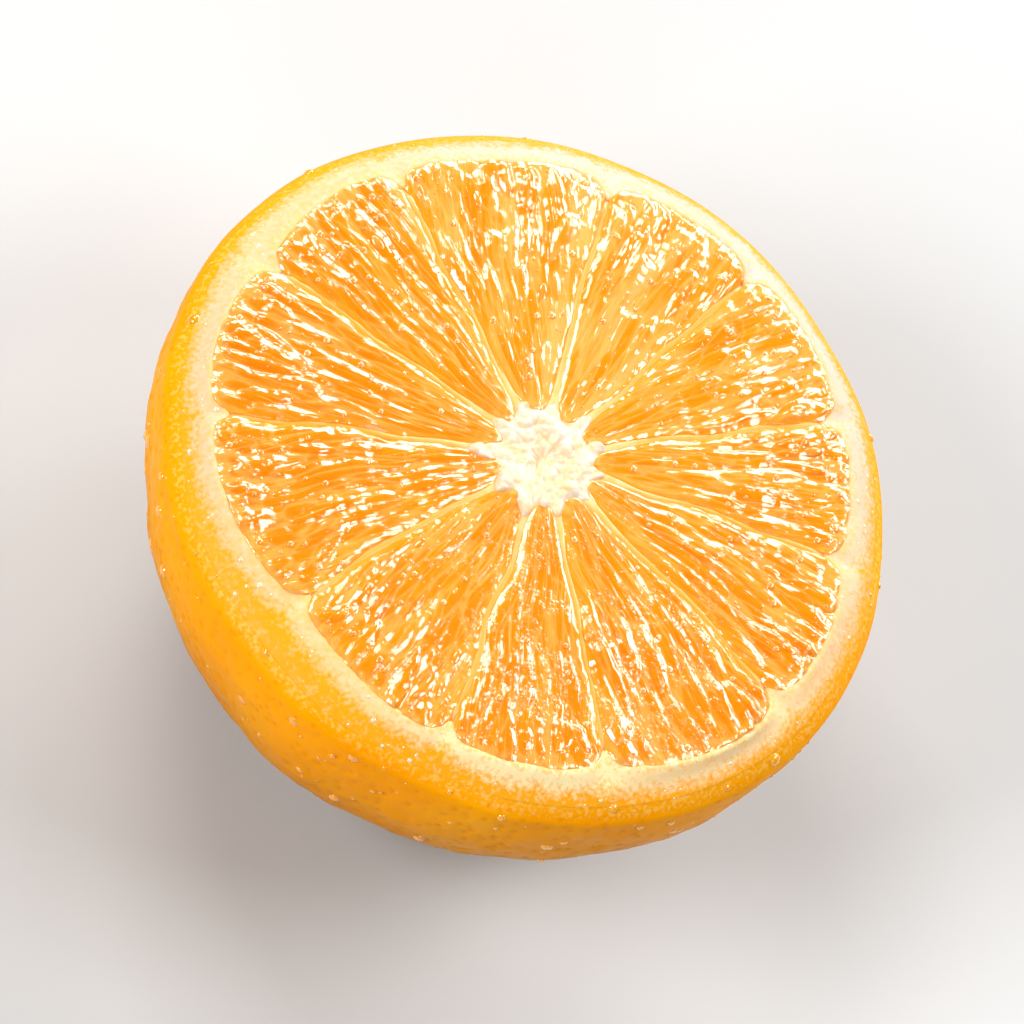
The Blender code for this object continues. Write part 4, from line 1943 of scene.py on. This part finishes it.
class DropTree(GrowthTree):
    """Scatters drops over wet faces, lying out from the core where they are long."""

    name = "drops"
    sizes = ("Drops a square metre", "Smallest", "Largest", "Height", "Length")
    counts = ("Seed", "Roundness")
    words = ("Wetness",)
    sunk = -0.45
    rarity_of_large = 3.0

    def drop(self, given: NodeOutputs) -> Socket:
        """Lay out one smooth drop, sunk into the face that it lies on.

        Args:
            given: Outputs with the mesh and the named inputs' values.

        Returns:
            The output with the drop.
        """
        board = self.board
        ball = board.add("GeometryNodeMeshIcoSphere", {
            "Radius": 1.0, "Subdivisions": given["Roundness"]})
        scale = board.add("ShaderNodeCombineXYZ", {
            "X": given["Length"], "Y": 1.0, "Z": given["Height"]})
        sink = board.add("ShaderNodeCombineXYZ", {"Z": board.times(given["Height"], self.sunk)})
        drop = board.add("GeometryNodeTransform", {
            "Geometry": ball.outputs["Mesh"],
            "Scale": scale.outputs[0],
            "Translation": sink.outputs[0],
        })
        smooth = board.add("GeometryNodeSetShadeSmooth", {"Geometry": drop.outputs["Geometry"]})
        return smooth.outputs["Geometry"]

    def lay_out(self, given: NodeOutputs) -> Socket:
        """Lay out the drops.

        Args:
            given: Outputs with the mesh and the named inputs' values.

        Returns:
            The output with the drops.
        """
        board = self.board
        wet = board.add("GeometryNodeInputNamedAttribute", {"Name": given["Wetness"]},
                        data_type="FLOAT")
        spots = board.add("GeometryNodeDistributePointsOnFaces", {
            "Mesh": given["Geometry"],
            "Density": board.times(wet.outputs["Attribute"], given["Drops a square metre"]),
            "Seed": given["Seed"],
        })
        place = board.add("GeometryNodeInputPosition")
        outward = board.add("ShaderNodeVectorMath", {0: place.outputs[0], 1: (1.0, 1.0, 0.0)},
                            operation="MULTIPLY")
        turn = board.add("FunctionNodeAlignRotationToVector", {
            "Rotation": spots.outputs["Rotation"], "Vector": outward.outputs[0],
        }, axis="X", pivot_axis="Z")
        chance = board.add("FunctionNodeRandomValue", {"Seed": given["Seed"]}, data_type="FLOAT")
        rare = board.sum_of("POWER", chance.outputs[1], self.rarity_of_large)
        drops = board.add("GeometryNodeInstanceOnPoints", {
            "Points": spots.outputs["Points"],
            "Instance": self.drop(given),
            "Rotation": turn.outputs["Rotation"],
            "Scale": board.ranged(rare, 0.0, 1.0, given["Smallest"], given["Largest"]),
        })
        return drops.outputs["Instances"]


@dataclass
class Drops:
    """Drops of one kind that lie on finished pieces."""

    name: str
    material: Material
    a_square_metre: float
    smallest: float
    largest: float
    height: float
    length: float = 1.0
    wetness: str = "wet"
    seed: int = 1
    roundness: int = 2

    def build(self, pieces: list[Piece], slot: str) -> Piece:
        """Scatter the drops over pieces and fasten them.

        Args:
            pieces: Pieces whose wet faces carry the drops.
            slot: Not used.

        Returns:
            The drops' object.
        """
        joined = bmesh.new()
        for piece in pieces:
            joined.from_mesh(piece.data)
        host_mesh = bpy.data.meshes.new(self.name)
        joined.to_mesh(host_mesh)
        joined.free()
        mesh = DropTree().apply(show(f"{self.name}_host", host_mesh), self.material, {
            "Drops a square metre": self.a_square_metre,
            "Smallest": self.smallest,
            "Largest": self.largest,
            "Height": self.height,
            "Length": self.length,
            "Wetness": self.wetness,
            "Seed": self.seed,
            "Roundness": self.roundness,
        })
        drops = show(self.name, mesh)
        fasten(drops)
        return drops


@dataclass(frozen=True)
class SoftLight:
    """Soft square light that faces the half: its place and side in metres, its power in watts."""

    name: str
    place: tuple
    power: float
    side: float = 0.50


@dataclass
class Studio:
    """Pale floor, soft lights and the camera at the photograph's angle."""

    form: HalfForm
    lights: tuple = (
        SoftLight("key", (-0.72, 0.42, 0.90), 6.4),
        SoftLight("back_left", (-0.25, 1.08, 0.52), 7.4),
        SoftLight("back_right", (0.38, 1.04, 0.58), 7.4),
        SoftLight("side", (0.68, 0.36, 0.96), 6.3),
        SoftLight("front_right", (0.66, -0.74, 0.60), 1.3),
        SoftLight("front", (-0.60, -0.74, 0.72), 11.8),
    )
    glow: float = 0.05
    floor_half: float = 1.5
    floor_colours: tuple = ((0.3, (0.56, 0.56, 0.555)), (0.7, (0.60, 0.60, 0.595)))
    floor_roughness: tuple = (0.5, 0.6)
    cloud_spacing: float = 0.08
    elevation: float = 57.0
    roll: float = 37.2
    distance_in_radii: float = 51.8
    photo_width: float = 1024.0
    photo_radius: float = 384.5
    photo_centre: tuple = (525.4, 477.7)
    sensor: float = 36.0

    def build(self) -> None:
        """Build the floor, the lights, the world and the camera."""
        self.floor()
        self.world()
        for light in self.lights:
            self.hang(light)
        self.camera()
        view = bpy.context.scene.view_settings
        view.view_transform = "Standard"

    def floor(self) -> None:
        """Build the plain pale floor."""
        half = self.floor_half
        corners = [(-half, -half, 0.0), (half, -half, 0.0), (half, half, 0.0), (-half, half, 0.0)]
        floor = show("floor", make_mesh("floor", np.array(corners), [np.array([[0, 1, 2, 3]])]))
        bench = Bench("pale_floor")
        clouds = bench.grain(self.cloud_spacing, 2.0)
        bench.colour(bench.ramp(clouds, self.floor_colours))
        bench.roughness(bench.ranged(clouds, 0.3, 0.7, *self.floor_roughness))
        floor.data.materials.append(bench.material)

    def world(self) -> None:
        """Give the scene a soft, even glow."""
        world = bpy.data.worlds.new("studio")
        world.use_nodes = True
        glow = world.node_tree.nodes["Background"]
        glow.inputs["Color"].default_value = (1.0, 1.0, 1.0, 1.0)
        glow.inputs["Strength"].default_value = self.glow
        bpy.context.scene.world = world

    def hang(self, light: SoftLight) -> None:
        """Hang a light so that it faces the middle of the cut face.

        Args:
            light: The light.
        """
        lamp = bpy.data.lights.new(light.name, "AREA")
        lamp.size = light.side
        lamp.energy = light.power
        holder = bpy.data.objects.new(light.name, lamp)
        aim = Vector((0.0, 0.0, self.form.widest_height())) - Vector(light.place)
        turn = aim.to_track_quat("-Z", "Y").to_matrix().to_4x4()
        holder.matrix_world = Matrix.Translation(light.place) @ turn
        bpy.context.scene.collection.objects.link(holder)

    def camera(self) -> None:
        """Place the camera so that the half fills the picture as in the photograph."""
        form = self.form
        lift = radians(self.elevation)
        towards = Vector((0.0, -cos(lift), sin(lift)))
        slope = Vector((0.0, -sin(lift), -cos(lift)))
        turn = radians(self.roll)
        right = Vector((1.0, 0.0, 0.0)) * cos(turn) - slope * sin(turn)
        down = Vector((1.0, 0.0, 0.0)) * sin(turn) + slope * cos(turn)
        pixel = form.peel_radius / self.photo_radius
        middle = self.photo_width / 2.0
        axis = form.axis_place()
        aim = Vector((axis[0], axis[1], form.widest_height()))
        aim = aim - right * (self.photo_centre[0] - middle) * pixel
        aim = aim - down * (self.photo_centre[1] - middle) * pixel
        distance = form.peel_radius * self.distance_in_radii
        lens = bpy.data.cameras.new("camera")
        lens.sensor_width = self.sensor
        lens.lens = self.sensor * distance / (self.photo_width * pixel)
        lens.clip_end = 10.0
        camera = bpy.data.objects.new("camera", lens)
        place = aim + towards * distance
        turned = Matrix((right, -down, towards)).transposed().to_4x4()
        camera.matrix_world = Matrix.Translation(place) @ turned
        bpy.context.scene.collection.objects.link(camera)
        bpy.context.scene.camera = camera


def scatter_drops(skin: Piece, pith: Piece, wedges: list[Piece]) -> None:
    """Scatter the juice and the beads over the finished pieces.

    Args:
        skin: The skin.
        pith: The ring of pith.
        wedges: The wedges of flesh.
    """
    juice = DropFinish("juice_drop", (1.0, 0.27, 0.0), (1.0, 0.38, 0.06)).make()
    milky = DropFinish("drop_on_pith", (1.0, 0.66, 0.28), (1.0, 0.78, 0.48)).make()
    amber = DropFinish("drop_on_skin", (1.0, 0.34, 0.001), (1.0, 0.40, 0.01)).make()
    Drops(
        name="juice", material=juice, a_square_metre=32000.0, smallest=0.00022, largest=0.00050,
        height=0.45, length=2.2, wetness="wet_inside", seed=5, roundness=3,
    ).build(wedges, "flesh")
    Drops(
        name="beads_on_flesh", material=juice, a_square_metre=420000.0, smallest=0.00012,
        largest=0.00050, height=0.52, seed=8,
    ).build(wedges, "flesh")
    Drops(
        name="beads_on_pith", material=milky, a_square_metre=180000.0, smallest=0.00012,
        largest=0.00036, height=0.50, seed=9,
    ).build([pith], "pith")
    Drops(
        name="beads_on_skin", material=amber, a_square_metre=60000.0, smallest=0.00018,
        largest=0.00085, height=0.75, seed=14,
    ).build([skin], "skin")


def main() -> None:
    """Build the dressed half and its studio."""
    logging.basicConfig(level=logging.INFO, format="%(name)s: %(message)s", force=True)
    form = HalfForm()
    skin = Skin(form).build()
    pith = PithRing(form).build()
    Walls(form).build()
    Core(form).build()
    flesh = FleshFinish().make()
    wedges = [Wedge(form, number, flesh).build() for number in range(form.wedge_count())]
    scatter_drops(skin, pith, wedges)
    Studio(form).build()


if __name__ == "__main__":
    main()
